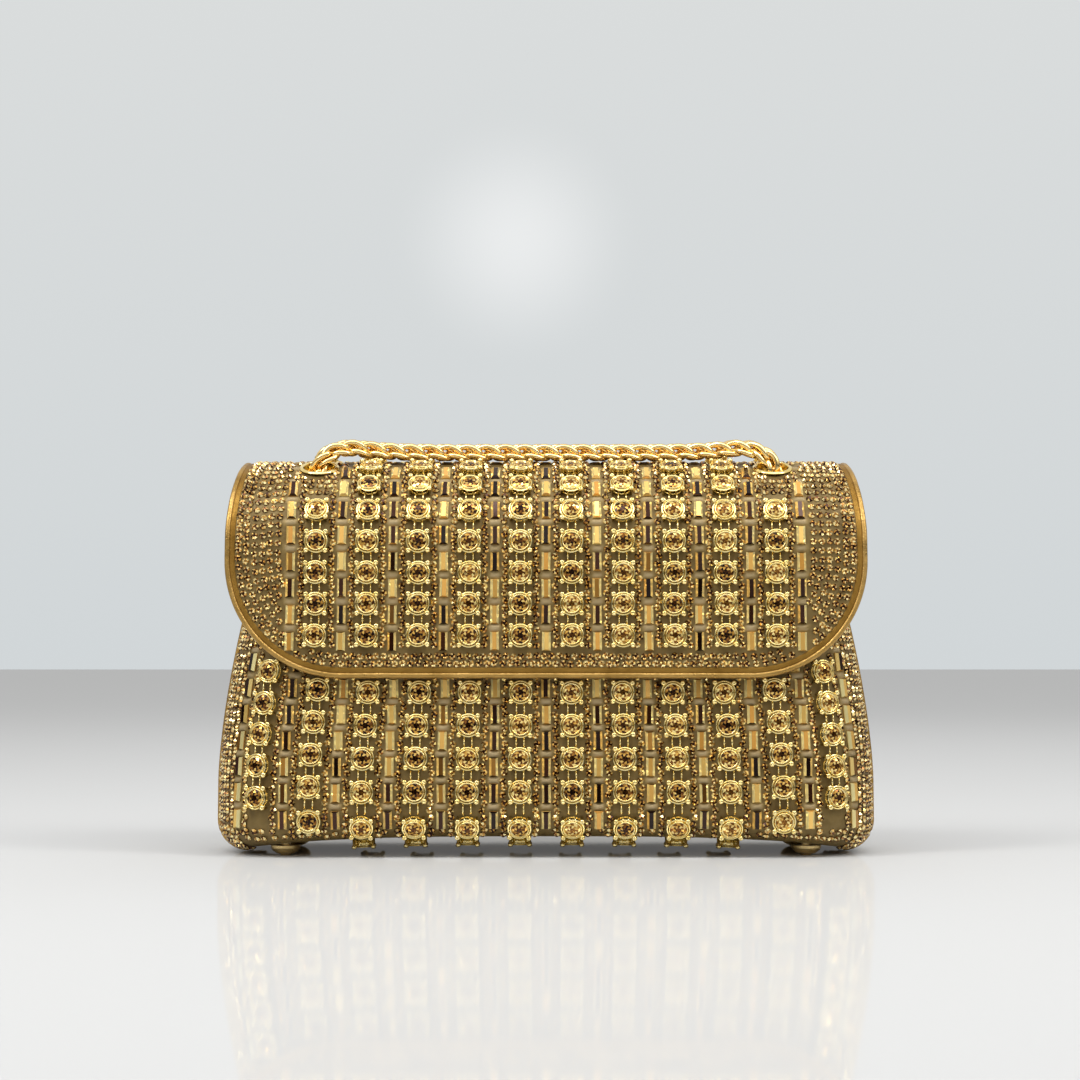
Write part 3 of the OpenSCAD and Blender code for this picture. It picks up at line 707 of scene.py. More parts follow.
RUN_HALF = [(79, -7.4, 114), (78.6, -8.4, 119.5), (78, -9.6, 125), (77.3, -10.2, 128.8), (76.1, -10.9, 132.2),
            (73.2, -10.4, 134.9), (69.4, -9.3, 136.4), (65, -8, 136.7), (58, -6.4, 136.1), (47, -5.4, 135.6),
            (32, -5, 135.45), (16, -5, 135.45), (0, -5, 135.45)]
DROP = [(79, -7.4, 113.2), (79.3, -7.6, 100), (79.4, -8.6, 85), (79.4, -9.8, 70), (79.3, -11, 55),
        (79, -12.2, 42), (77.8, -13.2, 31), (75, -14, 22.5), (69.5, -14.6, 16.8), (62, -15, 14.8),
        (50, -15.2, 15), (38, -15.1, 15.2), (26.5, -14.9, 15.4), (18.9, -12.9, 15.5), (13.3, -7.3, 15.6),
        (11.3, -0.3, 15.6)]
RETURN = [(11.3, 1.1, 15.6), (13.3, 8.1, 15.6), (18.9, 13.5, 15.5), (26.5, 15.5, 15.4), (38, 15.6, 15.2),
          (52, 15.6, 15), (64, 15.2, 14.8), (74, 14.2, 15.4), (82, 12.6, 18.4), (87.5, 10.8, 24.5),
          (91, 9, 33), (93, 7.2, 44), (94, 5.4, 56), (94.3, 3.8, 68.8)]
LINK_PITCH = 3.3
LINK_L = 9.4
LINK_W = 4.95
LINK_WIRE = 1.0
LINK_TWIST = 0.11        # radians of twist per millimetre along a link


def smooth_route(points, step):
    """Points a step apart on a smooth curve through a route."""
    pts = np.array(points, float)
    padded = np.vstack([2 * pts[0] - pts[1], pts, 2 * pts[-1] - pts[-2]])
    dense = []
    for a, b, c, d in zip(padded, padded[1:], padded[2:], padded[3:]):
        for t in np.linspace(0, 1, 16, endpoint=False):
            dense.append(0.5 * (2 * b + (c - a) * t + (2 * a - 5 * b + 4 * c - d) * t * t
                                + (3 * b - a - 3 * c + d) * t ** 3))
    dense = np.array(dense + [pts[-1]])
    run = np.concatenate([[0], np.cumsum(np.linalg.norm(np.diff(dense, axis=0), axis=1))])
    count = max(2, int(round(run[-1] / step)) + 1)
    at = np.linspace(0, run[-1], count)
    return np.column_stack([np.interp(at, run, dense[:, i]) for i in range(3)]), run[-1]


def link_point(t):
    """A point on the centreline of a twisted oval link along X; ends bend one way and sides the other."""
    x, y, z = LINK_L / 2 * math.cos(t), LINK_W / 2 * math.sin(t), 0.9 * math.cos(2 * t)
    c, s = math.cos(LINK_TWIST * x), math.sin(LINK_TWIST * x)
    return np.array([x, c * y - s * z, s * y + c * z])


def link_template():
    loops = []
    for k in range(24):
        a = 2 * math.pi * k / 24
        tangent = link_point(a + 0.01) - link_point(a - 0.01)
        tangent /= np.linalg.norm(tangent)
        side = np.cross(tangent, (0, 0, 1))
        side /= np.linalg.norm(side)
        up = np.cross(side, tangent)
        loops.append([link_point(a) + LINK_WIRE * (side * math.cos(b) + up * math.sin(b))
                      for b in (2 * math.pi * j / 8 for j in range(8))])
    return swept(loops, closed=True)


def chain(name, route, node, exit_body, other_body=None):
    """Woven links along a route, riding on a body, or baked in place where the route runs between two."""
    line, length = smooth_route(route, 1.4)
    centres, _ = smooth_route(route, LINK_PITCH)
    places = []
    across = np.array((0.0, 1.0, 0.0))
    for i, (start, end) in enumerate(zip(centres, centres[1:])):
        ahead = end - start
        ahead /= np.linalg.norm(ahead)
        across = across - ahead * (across @ ahead)
        across /= np.linalg.norm(across)
        up = np.cross(ahead, across)
        turn = math.radians(38 if i % 2 else -52)
        y_axis = across * math.cos(turn) + up * math.sin(turn)
        places.append(((start + end) / 2, np.column_stack([ahead, y_axis, np.cross(ahead, y_axis)])))
    piece = scatter(name, link_template(), places, CHAIN_GOLD, smooth=True)
    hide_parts(node)
    if other_body is None:
        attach(piece, exit_body)
    else:
        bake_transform(piece)


def mirrored(route, m):
    return [(m * x, y, z) for x, y, z in route]


def strap():
    """The chain in five cords: over the flap, down inside at each end, and back up to each ring."""
    chain("strap_over_flap", RUN_HALF + mirrored(RUN_HALF[-2::-1], -1), "chain_run", "flap")
    for side, m in SIDES:
        chain(f"strap_{side}_drop", mirrored(DROP, m), f"{side}_chain_drop", "bag_body",
              "flap")
        chain(f"strap_{side}_return", mirrored(RETURN, m), f"{side}_chain_return", "bag_body",
              f"{side}_ring")


strap()


# ---- Body leather, film and lining ------------------------------------------

BELOW = BOTTOM_ROUND * math.pi / 2      # length of the wall's turn under the bag
FRONT_FILM_TOP = 69.5
BACK_FILM_TOP = 92.5
BARS_AT = range(-6, 7)
BAR_FIRST = 12.6
BAR_ROW = 8.6
COLUMNS = [(54.2, 10.9), (54.2, 10.9), (54.2, 10.9), (54.2, 10.9), (55.1, 10.65), (61.1, 10.35)]
FRONT_COUNT = 5
BACK_COUNT = 8
FRONT_BARS = 7
BACK_BARS = 9


def wall_layer(name, material, side, outer, inner, top=None, reach=1.0, cols=97, lift=None):
    """A layer of the front or back wall between two depths; lift(d, h) raises its outer face."""
    gs = np.linspace(-reach, reach, cols) * -side
    tops = [top(g) if top else top_z(g, side) for g in gs]
    face, under, swell = [], [], []
    for f in [*np.linspace(-1, 0, 9, endpoint=False), *np.linspace(0, 1, 100 if lift else 40)]:
        row, low = [], []
        for g, high in zip(gs, tops):
            base = base_z(g)
            h = base + BELOW * f if f < 0 else base + (high - base) * f
            up = lift(g * WALL_RUN, h) if lift else 0.0
            swell.append(up)
            row.append(wall(g, h, outer - up, side))
            low.append(wall(g, h, inner, side))
        face.append(row)
        under.append(low)
    carried = [*swell, *([0.0] * len(swell))] if lift else None
    return mesh_piece(name, grid_shell(face, under), material, swell=carried)


def gusset_layer(name, material, m, outer, inner, top, reach=1.0):
    """A layer of a side gusset, on the right (m = 1) or left (m = -1)."""
    ws = np.linspace(-reach, reach, 15)
    base = base_z(1)
    hs = [*np.linspace(base - BELOW, base, 9, endpoint=False), *np.linspace(base, top, 40)]
    face = [[gusset(w, h, outer) for w in ws] for h in hs]
    under = [[gusset(w, h, inner) for w in ws] for h in hs]
    if m < 0:
        face = [[p * (-1, 1, 1) for p in row[::-1]] for row in face]
        under = [[p * (-1, 1, 1) for p in row[::-1]] for row in under]
    return mesh_piece(name, grid_shell(face, under), material)


def floor_layer(name, material, outer, inner, shrink=0.0):
    """A layer of the bottom between the lower edges of the two walls."""
    gs = np.linspace(-1, 1, 65)

    def grid(inset):
        rows = []
        for t in np.linspace(0, 1, 9):
            row = []
            for g in gs:
                low = base_z(g) - BELOW
                front, back = wall(g, low, inset, -1), wall(g, low, inset, 1)
                p = back + (front - back) * (shrink + (1 - 2 * shrink) * t)
                row.append(p)
            rows.append(row)
        return rows

    return mesh_piece(name, grid_shell(grid(outer), grid(inner)), material)


def front_film_top(g):
    """The front film ends under the flap, and runs on up the corners that the flap leaves bare."""
    rise = max(0.0, min(1.0, (abs(g) * WALL_RUN - 94.0) / 5.0))
    return FRONT_FILM_TOP + (BACK_FILM_TOP - FRONT_FILM_TOP) * rise * rise * (3 - 2 * rise)


def back_film_top(g):
    return BACK_FILM_TOP


def pillow(d, h):
    """The glue film swells a little between two bars of a column."""
    column = round(d / BODY_PITCH)
    if abs(column) > 6:
        return 0.0
    return swelling(d - column * BODY_PITCH, (h - BAR_FIRST) / BAR_ROW - 0.5, BAR_ROW)


def swelling(off, row, pitch):
    """Height of the film at a distance off a column's middle; a whole row is halfway between two bars."""
    if row <= -0.6:
        return 0.0
    across = off / 2.0
    along = (row - round(row)) * pitch
    return 0.8 * math.exp(-across ** 4 - along ** 4)


def body_shell():
    """Leather, glue film and lining of the two walls, the two gussets and the bottom."""
    for name, side, top in (("front", -1, front_film_top), ("back", 1, back_film_top)):
        skin = wall_layer(f"{name}_leather", GOLD_LEATHER, side, FILM_T, LEATHER_IN)
        place(skin, "bag_body", f"{name}_panel")
        glue = wall_layer(f"{name}_glue_film", FILM, side, 0, FILM_T, top, 0.985, 251, pillow)
        place(glue, "bag_body", f"{name}_film")
        place(wall_layer(f"{name}_satin", LINING, side, LINING_OUT, INNER_T), "bag_body", f"{name}_lining")
    for name, m in SIDES:
        skin = gusset_layer(f"{name}_gusset_leather", GOLD_LEATHER, m, FILM_T, LEATHER_IN, RIM_Z)
        place(skin, "bag_body", f"{name}_gusset")
        glue = gusset_layer(f"{name}_side_glue_film", FILM, m, 0, FILM_T, BACK_FILM_TOP, 0.86)
        place(glue, "bag_body", "side_films")
        cloth = gusset_layer(f"{name}_side_satin", LINING, m, LINING_OUT, INNER_T, RIM_Z)
        place(cloth, "bag_body", f"{name}_side_lining")
    place(floor_layer("bottom_leather", GOLD_LEATHER, FILM_T, LEATHER_IN), "bag_body", "bottom_panel")
    place(floor_layer("bottom_satin", LINING, *FLOOR_LINING, 0.02), "bag_body", "bottom_lining")


def tube(route, r, sides=10):
    loops = []
    pts = [np.asarray(p, float) for p in route]
    for i, p in enumerate(pts):
        ahead = pts[min(i + 1, len(pts) - 1)] - pts[max(i - 1, 0)]
        ahead /= np.linalg.norm(ahead)
        side = np.cross(ahead, (0, 0, 1) if abs(ahead[2]) < 0.9 else (0, 1, 0))
        side /= np.linalg.norm(side)
        up = np.cross(side, ahead)
        loops.append([p + r * (side * math.cos(a) + up * math.sin(a))
                      for a in (2 * math.pi * k / sides for k in range(sides))])
    return swept(loops)


def rim_binding():
    """The leather wrapped over the rim, from one end of the back wall round to the other."""
    lip = 4.5
    far = INNER_T + 0.5
    section = [(-0.12, -lip), (-0.2, -lip + 0.3), (-0.2, 0.2), (0.1, 0.6), (0.6, 0.7), (far - 0.6, 0.7),
               (far - 0.1, 0.6), (far, 0.2), (far, -lip + 0.3), (far - 0.1, -lip), (far - 0.45, -lip),
               (far - 0.45, 0.05), (0.25, 0.05), (0.25, -lip)]

    def loop(g, side):
        top = top_z(g, side)
        return [(*plan(g, top + up, inset, side), top + up) for inset, up in section]

    corner = [CORNER_AT + (1 - CORNER_AT) * c for c in np.linspace(0.42, 0.999, 14)]
    loops = [loop(-g, 1) for g in corner]
    loops += [loop(g, -1) for g in np.linspace(-1, 1, 121)]
    loops += [loop(g, 1) for g in corner[::-1]]
    place(mesh_piece("rim_leather_binding", swept(loops), BINDING_LEATHER), "bag_body", "rim_binding")


def side_pipings():
    """A piping in each of the four side seams."""
    pipe_r = 0.9
    parts = []
    for m in (-1, 1):
        for side in (-1, 1):
            base = base_z(1)
            hs = [*np.linspace(base - BELOW, base, 10), *np.linspace(base + 2, 98.7, 40)]
            parts.append(tube([wall(m, h, FILM_T - pipe_r - 0.05, side) for h in hs], pipe_r))
    place(mesh_piece("side_seam_pipings", joined(parts), BINDING_LEATHER), "bag_body", "side_pipings")


def fold_leather():
    """Plain leather over the fold, running from the back wall round onto the flap."""
    reach = 0.74
    wall_rows = np.linspace(94.3, 99.4, 8)
    flap_rows = np.linspace(FLAP_BACK + 0.4, FLAP_BACK + 4.2, 8)
    gs = np.linspace(reach, -reach, 61)
    face = [[wall(g, h, -0.7, 1) for g in gs] for h in wall_rows]
    under = [[wall(g, h, FILM_T, 1) for g in gs] for h in wall_rows]
    xs = [p[0] for p in face[-1]]
    face += [[flap(x, s, 0.7) for x in xs] for s in flap_rows]
    under += [[flap(x, s, -0.25) for x in xs] for s in flap_rows]
    strip = mesh_piece("fold_leather", grid_shell(face, under), BINDING_LEATHER)
    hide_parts("fold_strip")
    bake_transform(strip)


body_shell()
rim_binding()
side_pipings()
fold_leather()

# ---- Flap -------------------------------------------------------------------

LEG_TOP_Z = ARCH_Z + ARCH_R * math.cos(ARCH_FRONT)
HEM_Z = LEG_TOP_Z - FLAP_LEG * math.sin(ARCH_FRONT)
CORNER_Z = HEM_Z + FLAP_CORNER_R
CORNER_X = FLAP_HALF + FRONT_FLARE - FLAP_CORNER_R


def leg_s(z):
    """Distance along the flap to a height on its straight front."""
    return ARCH_FRONT_LEN + (LEG_TOP_Z - z) / math.sin(ARCH_FRONT)


CORNER_S = leg_s(CORNER_Z)


def flap_row_half(s, margin):
    """Half the width of a row of the flap at s, whose edge keeps a margin from the outline."""
    if s <= CORNER_S:
        return flap_half(s, margin)
    r = FLAP_CORNER_R - margin
    drop = CORNER_Z - flap(0, s)[2]
    return CORNER_X + math.sqrt(max(0.0, r * r - drop * drop))


def flap_grid(margin, start, out, cols, fine=1.0, lift=None):
    """Rows of points over the flap, from its hem to its back end."""
    end = leg_s(HEM_Z + margin)
    turn = np.linspace(0, math.pi / 2, int(26 * fine))
    rows = [CORNER_S + (end - CORNER_S) * math.cos(a) for a in turn]
    rows += list(np.linspace(CORNER_S, start, int(60 * fine) + 1)[1:])
    grid = []
    for s in rows:
        half = flap_row_half(s, margin)
        xs = half * np.linspace(-1, 1, cols)
        grid.append([flap(x, s, out + (lift(x, s) if lift else 0.0)) for x in xs])
    return grid


def flap_layer(name, material, low, high, margin, back_gap, cols=61, fine=1.0, lift=None):
    """A layer of the flap between two heights, with its two eyelet holes cut through."""
    start = FLAP_BACK + back_gap
    flat = flap_grid(margin, start, high, cols, fine)
    raised = flap_grid(margin, start, high, cols, fine, lift) if lift else flat
    shape = grid_shell(raised, flap_grid(margin, start, low, cols, fine))
    swell = np.linalg.norm(np.reshape(raised, (-1, 3)) - np.reshape(flat, (-1, 3)), axis=1)
    piece = mesh_piece(name, shape, material, swell=[*swell, *(0.0 * swell)])
    for m in (-1, 1):
        punch(piece, m)
    return piece


def punch(piece, m):
    """Cuts an eyelet's hole through a layer of the flap."""
    hole = revolve([(0, -9), (HOLE_R, -9), (HOLE_R, 9), (0, 9)], 48)
    cutter = mesh_piece("hole", placed(hole, eyelet_place(m)), piece.data.materials[0])
    cut = piece.modifiers.new("hole", "BOOLEAN")
    cut.object = cutter
    cut.solver = "EXACT"
    bpy.context.view_layer.update()
    mesh = bpy.data.meshes.new_from_object(piece.evaluated_get(bpy.context.evaluated_depsgraph_get()))
    piece.modifiers.clear()
    piece.data = mesh
    bpy.data.objects.remove(cutter)


def eyelet_place(m):
    s = EYELET_A * ARCH_R
    return square_frame(flap_surface, m * EYELET_X, -s)


def flap_pillow(x, s):
    """The film's swellings between the bars of the flap's columns."""
    column = round(x / FLAP_PITCH)
    if abs(column) > 5 or s > FLAP_BARS[0] + 5:
        return 0.0
    return swelling(x - column * FLAP_PITCH, (FLAP_BARS[0] - s) / FLAP_BAR_ROW - 0.5, FLAP_BAR_ROW / 1.05)


FLAP_BAR_ROW = 8.8
FLAP_BARS = [79.4 - FLAP_BAR_ROW * i for i in range(14)]
FLAP_ROW = 10.4
FLAP_FIRST = 77.6
CHAIN_ROW = 7
FLAP_ROWS = [FLAP_FIRST - FLAP_ROW * i - (0.4 if i > CHAIN_ROW else 0.0) for i in range(12)]


def flap_shell():
    skin = flap_layer("flap_leather_skin", GOLD_LEATHER, -LEATHER_IN, -FILM_T, 0.7, 0.7)
    place(skin, "flap", "flap_leather")
    place(flap_layer("flap_satin", LINING, -INNER_T, -LINING_OUT, 0.7, 0.7), "flap", "flap_lining")
    place(flap_layer("flap_glue_film", FILM, -FILM_T, 0, 3.0, 6, 209, 1.7, flap_pillow), "flap", "flap_film")


def corner_point(margin, a):
    r = FLAP_CORNER_R - margin
    return CORNER_X + r * math.cos(a), leg_s(CORNER_Z - r * math.sin(a))


def hem_stations(steps=1.0):
    """Points round the flap's outline, each a function of the margin that gives (x, s)."""
    side = np.linspace(FLAP_BACK, CORNER_S - 0.01, int(56 * steps))
    right = [lambda m, s=s: (flap_half(s, m), s) for s in side]
    right += [lambda m, a=a: corner_point(m, a) for a in np.linspace(0, math.pi / 2, int(30 * steps))]
    base = np.linspace(CORNER_X, -CORNER_X, int(36 * steps))[1:-1]
    bottom = [lambda m, x=x: (x, leg_s(HEM_Z + m)) for x in base]
    left = [lambda m, at=at: (-at(m)[0], at(m)[1]) for at in reversed(right)]
    return right + bottom + left


def flap_edge():
    """The binding: a flat strip of leather, then a rolled bead, wrapped over the flap's edge."""
    back = -INNER_T - 0.4
    section = [(1.75, -0.28), (1.75, -0.05), (1.55, 0.2), (1.2, 0.38), (0.8, 0.42), (0.4, 0.32), (0.12, 0.05),
               (0.0, -0.5), (0.0, -2.9), (0.12, -3.3), (0.5, back + 0.05), (0.9, back), (3.1, back),
               (3.4, back + 0.2), (3.4, -INNER_T), (0.8, -INNER_T), (0.8, -0.3)]
    loops = []
    for i, station in enumerate(hem_stations()):
        wobble = 0.05 * math.sin(0.9 * i) + 0.04 * math.sin(2.3 * i + 1)
        loop = []
        for margin, out in section:
            x, s = station(margin)
            loop.append(flap(x, s, out + (wobble if 0 < margin < 1.5 and out > -0.3 else 0.0)))
        loops.append(loop)
    place(mesh_piece("flap_rolled_binding", swept(loops), BINDING_LEATHER), "flap", "flap_binding")
    flat = [(3.5, -0.28), (3.5, 0.02), (3.3, 0.12), (2.0, 0.12), (1.7, -0.02), (1.7, -0.28)]
    loops = [[flap(*station(margin), out) for margin, out in flat] for station in hem_stations()]
    place(mesh_piece("flap_edge_strip", swept(loops), DARK_BINDING), "flap")


def eyelets():
    """Rolled brass eyelets that the chain passes through."""
    r, flange = 5.4, 6.8
    profile = [(r, -4.8), (r + 0.4, -4.8), (r + 0.45, -0.4), (flange - 0.3, 0.05), (flange, 0.15),
               (flange, 0.35), (flange - 0.25, 0.6), (flange - 0.8, 0.82), (r + 0.5, 0.88), (r + 0.15, 0.7),
               (r, 0.35), (r, -4.8)]
    for name, m in SIDES:
        ring = placed(revolve(profile, 64), eyelet_place(m))
        place(mesh_piece(f"{name}_eyelet_ring", ring, BRIGHT_GOLD), "flap", f"{name}_eyelet")


flap_shell()
flap_edge()
eyelets()


# ---- Settings, crystals, bars and wires -------------------------------------

def setting_template():
    """A cup of two bright rings over a galleried side, with a ball prong at each corner."""
    parts = [torus(3.66, 0.25, 26, 6, 2.3), torus(2.98, 0.2, 26, 6, 2.75), torus(3.5, 0.3, 20, 5, 0.4),
             revolve([(2.5, 0.4), (3.1, 0.4), (3.3, 1.9), (3.0, 2.65), (2.72, 2.6), (2.5, 0.4)], 26)]
    at = SETTING_W / 2 - 0.85
    prong, prong_faces = revolve([(0, 0.1), (0.5, 0.1), (0.5, 2.0), (0.82, 2.35), (0.92, 2.75), (0.8, 3.12),
                                  (0.5, 3.36), (0.24, 3.3), (0.14, 2.98), (0, 2.92)], 10)
    for x in (-at, at):
        for y in (-at, at):
            parts.append((prong + (x, y, 0), prong_faces))
    post, post_faces = revolve([(0, 0.4), (0.24, 0.4), (0.24, 2.3), (0, 2.3)], 6)
    for k in range(12):
        a = math.radians(30 * k + 15)
        parts.append((post + (3.55 * math.cos(a), 3.55 * math.sin(a), 0), post_faces))
    arm = box_part((1.6, 0.5, 0.6), (3.8, 0, 0.5))
    for k in range(4):
        a = math.radians(90 * k + 45)
        turn = np.array([[math.cos(a), -math.sin(a), 0], [math.sin(a), math.cos(a), 0], [0, 0, 1]])
        parts.append((arm[0] @ turn.T, arm[1]))
    return joined(parts)


def cut_stone(rings, bottom, n):
    """A faceted stone from rings of (radius, height, half-step turn, tones), from its edge to its table; the
    tones paint each facet's reflection.
    """
    verts = [(0, 0, bottom)]
    faces = []
    tones = []
    starts = []
    for r, z, half, _ in rings:
        starts.append(len(verts))
        for k in range(n):
            a = 2 * math.pi * (k + half / 2) / n
            verts.append((r * math.cos(a), r * math.sin(a), z))
    for k in range(n):
        faces.append((0, starts[0] + (k + 1) % n, starts[0] + k))
        tones.append(0.1)
    for i in range(len(rings) - 1):
        a, b = starts[i], starts[i + 1]
        shades = rings[i][3]
        twist = rings[i + 1][2] - rings[i][2]
        for k in range(n):
            j = (k + 1) % n
            own = [shades[k % len(shades)], shades[(k + 1) % len(shades)]]
            if twist == 0:
                faces.append((a + k, a + j, b + j, b + k))
                own = own[:1]
            elif twist > 0:
                faces += [(a + k, a + j, b + k), (b + k, a + j, b + j)]
            else:
                faces += [(a + k, b + j, b + k), (a + k, a + j, b + j)]
            tones += own
    centre = len(verts)
    verts.append((0, 0, rings[-1][1]))
    last = starts[-1]
    shades = rings[-1][3]
    for k in range(n):
        faces.append((last + k, last + (k + 1) % n, centre))
        tones.append(shades[k % len(shades)])
    return np.array(verts, float), faces, tones


# painted reflections and glints: each list paints the facets dark or bright as if they mirrored a dark or
# bright room
ROUND_STONE = cut_stone([(2.74, 2.3, 0, [0.3]), (2.7, 2.5, 0, [0.15, 0.7, 0.35, 0.9, 0.2, 0.6]),
                         (1.85, 2.8, 1, [0.7, 0.1, 0.55, 0.25, 0.85, 0.15]),
                         (0.95, 3.0, 0, [0.02, 0.12, 0.0, 0.3])], 0.7, 12)
DOME_STONE = cut_stone([(STONE_D / 2, 0.05, 0, [0.15]),
                        (STONE_D / 2, 0.32, 0, [0.9, 0.2, 0.7, 1.0, 0.4, 0.8, 0.1]),
                        (STONE_D * 0.22, 0.95, 1, [0.05, 0.25, 0.1])], 0.0, 7)


def bar_template():
    """A baguette mirror: a flat table between two long bevels, with short ones at its ends; tones paint a
    bright highlight on the long bevels and a dark to copper reflection on the table.
    """
    w, l = BAR_W / 2, BAR_L / 2
    rings = [(w, l, 0.0), (w, l, 0.4), (w - 0.78, l - 0.3, 1.3)]
    verts = [(sx * x, sy * y, z) for x, y, z in rings for sx, sy in ((-1, -1), (1, -1), (1, 1), (-1, 1))]
    faces = [(3, 2, 1, 0)]
    tones = [0.2]
    # painted highlights: the long bevels (1.1, 0.95) get the brightest tones, the short bevels and the table
    # darker painted reflection
    for low, shades in ((0, (0.5, 0.6, 0.5, 0.6)), (4, (0.3, 1.1, 0.2, 0.95))):
        for k, tone in enumerate(shades):
            j = (k + 1) % 4
            faces.append((low + k, low + j, low + j + 4, low + k + 4))
            tones.append(tone)
    faces.append((8, 9, 10, 11))
    tones.append(0.32)
    return np.array(verts, float), faces, tones


def wires_template(gap):
    parts = []
    for x in (-1.3, 1.3):
        verts, faces = revolve([(0, -gap / 2), (0.3, -gap / 2), (0.3, gap / 2), (0, gap / 2)], 8)
        parts.append((verts[:, (0, 2, 1)] * (1, 1, -1) + (x, 0, 1.4), faces))
    return joined(parts)


GAP_AT = 3.35            # how far the zigzag columns of small stones stand from the middle of a bar
CLOSEST = 0.86 * STONE_D  # small stones stand no nearer to each other than this
CELL = 3                 # side of the squares that sort the small stones by place
FIELD_U = 2.75           # spacing of the small stones across the plain corners of a wall
FIELD_V = 2.7            # and up them
FIELD_END = 123.0        # how far from a wall's middle they go
FLAP_FIELD = 2.6         # their spacing on the flap


def in_reach(places_2d, x, y, half_x, half_y):
    """Whether (x, y) comes within a half-width and half-height of any of some points."""
    if len(places_2d) == 0:
        return False
    near = np.abs(places_2d - (x, y))
    return bool(np.any((near[:, 0] < half_x) & (near[:, 1] < half_y)))


class Zone:
    """A surface being set with stones: where its settings and bars are, and which small stones still fit."""

    def __init__(self, surface, settings, bars):
        self.surface = surface
        self.settings = settings
        self.bars = bars
        self.setting_at = np.array(settings).reshape(-1, 2)
        self.bar_at = np.array(bars).reshape(-1, 2)
        self.taken = {}
        self.stones = []
        self.holes = []

    def add(self, u, v):
        """Sets a small stone at (u, v) if it has room."""
        r = STONE_D / 2
        if in_reach(self.setting_at, u, v, SETTING_W / 2 + r - 0.55, SETTING_W / 2 + r - 0.5):
            return
        if in_reach(self.bar_at, u, v, BAR_W / 2 + r - 0.1, BAR_L / 2 + r - 0.3):
            return
        if any(math.hypot(u - x, v - y) < radius for x, y, radius in self.holes):
            return
        cell = (int(u // CELL), int(v // CELL))
        for i in (-1, 0, 1):
            for j in (-1, 0, 1):
                for x, y in self.taken.get((cell[0] + i, cell[1] + j), ()):
                    if math.hypot(u - x, v - y) < CLOSEST:
                        return
        self.taken.setdefault(cell, []).append((u, v))
        self.stones.append((u, v))

    def add_near(self, u, v, du=0.15, dv=0.15):
        """Sets a small stone within du and dv of (u, v)."""
        self.add(u + rng.uniform(-du, du), v + rng.uniform(-dv, dv))

    def gap_column(self, u, low, high, pitch=2.4):
        """One zigzag column of stones, as between a bar column and a setting column."""
        count = int((high - low) / pitch)
        flip = rng.choice((-1, 1))
        for i in range(count + 1):
            side = flip * (-1) ** i
            v = low + i * (high - low) / count
            self.add(u + side * rng.uniform(0.1, 0.4), v + rng.uniform(-0.15, 0.15))

    def build(self, name, body):
        """The zone's small stones as one piece."""
        places = [loosened(square_frame(self.surface, u, v), 0.12, 0.07, 3.14) for u, v in self.stones]
        place(scatter(name, DOME_STONE, places, SMALL_STONE, spread=0.3), body)


def build_columns(zone, prefix, body, gaps, wire_gap, extra=()):
    """The settings, crystals, bars and wires of a zone; extra holds frames of more settings."""
    seats = [loosened(square_frame(zone.surface, u, v), 0.12, 0.02, 0.03) for u, v in zone.settings]
    seats += list(extra)
    cups = scatter(f"{prefix}_prong_settings", setting_template(), seats, BRIGHT_GOLD, smooth=True)
    place(cups, body, f"{prefix}_settings")
    turned_seats = [loosened(seat, 0.0, 0.03, 3.14) for seat in seats]
    gems = scatter(f"{prefix}_round_stones", ROUND_STONE, turned_seats, BIG_STONE, spread=0.22)
    place(gems, body, f"{prefix}_crystals")
    rows = [loosened(square_frame(zone.surface, u, v), 0.12, 0.05, 0.02) for u, v in zone.bars]
    place(scatter(f"{prefix}_baguettes", bar_template(), rows, MIRROR, spread=0.34), body, f"{prefix}_bars")
    spans = [square_frame(zone.surface, u, v) for u, v in gaps]
    wires = scatter(f"{prefix}_link_wires", wires_template(wire_gap), spans, BRIGHT_GOLD, smooth=True)
    place(wires, body, f"{prefix}_wires")


def column_rows(k, count):
    first, pitch = COLUMNS[k]
    return [first + pitch * (count - 5 - i) for i in range(count)]


def dress_wall(prefix, surface, side, count, bar_count, top):
    """All that is set on the front or back wall."""
    settings, gaps, under = [], [], []
    for k in range(6):
        rows = column_rows(k, count)
        for m in (-1, 1):
            d = m * (k + 0.5) * BODY_PITCH
            settings += [(d, h) for h in rows]
            gaps += [(d, (a + b) / 2) for a, b in zip(rows, rows[1:])]
            if k < 4:
                edge = base_z(d / WALL_RUN) - BELOW - 0.25 * BOTTOM_ROUND
                under.append(square_frame(surface, d, edge))
    bars = [(k * BODY_PITCH, BAR_FIRST + BAR_ROW * i) for k in BARS_AT for i in range(bar_count)]
    zone = Zone(surface, settings, bars)
    build_columns(zone, prefix, "bag_body", gaps, 3.4, under)
    for k in BARS_AT:
        for m in (-1, 1):
            zone.gap_column(k * BODY_PITCH + m * GAP_AT, 6.0, top)
    for m in (-1, 1):
        for d in np.arange(107.6, FIELD_END, FIELD_U):
            for h in np.arange(base_z(1) - 12.5, top + 0.5, FIELD_V):
                zone.add_near(m * d, h)
    if side < 0:
        for m in (-1, 1):
            for d in np.arange(99.5, FIELD_END, FIELD_U):
                for h in np.arange(FRONT_FILM_TOP, 91.0, FIELD_V):
                    zone.add_near(m * d, h)
    for h_below in (4.2, 7.2):
        for d in np.arange(-122, 122.1, FIELD_U):
            zone.add_near(d, base_z(d / WALL_RUN) - h_below, dv=0.2)
    zone.build(f"{prefix}_small_stones", "bag_body")


def dress_sides():
    for name, surface in (("right", right_surface), ("left", left_surface)):
        zone = Zone(surface, [], [])
        for h in np.arange(4.0, 91.5, 2.75):
            for y in np.arange(-5.1, 5.2, 2.55):
                zone.add_near(y, h, 0.12, 0.2)
        zone.build(f"{name}_side_small_stones", "bag_body")


def flap_has(k, i):
    return i != CHAIN_ROW and (k < 4 or i < 5 or i > CHAIN_ROW)


def bar_fits(k, s):
    if abs(k) < 5:
        return s < -1 or s > 12
    return -30 < s < -1 or s > 24


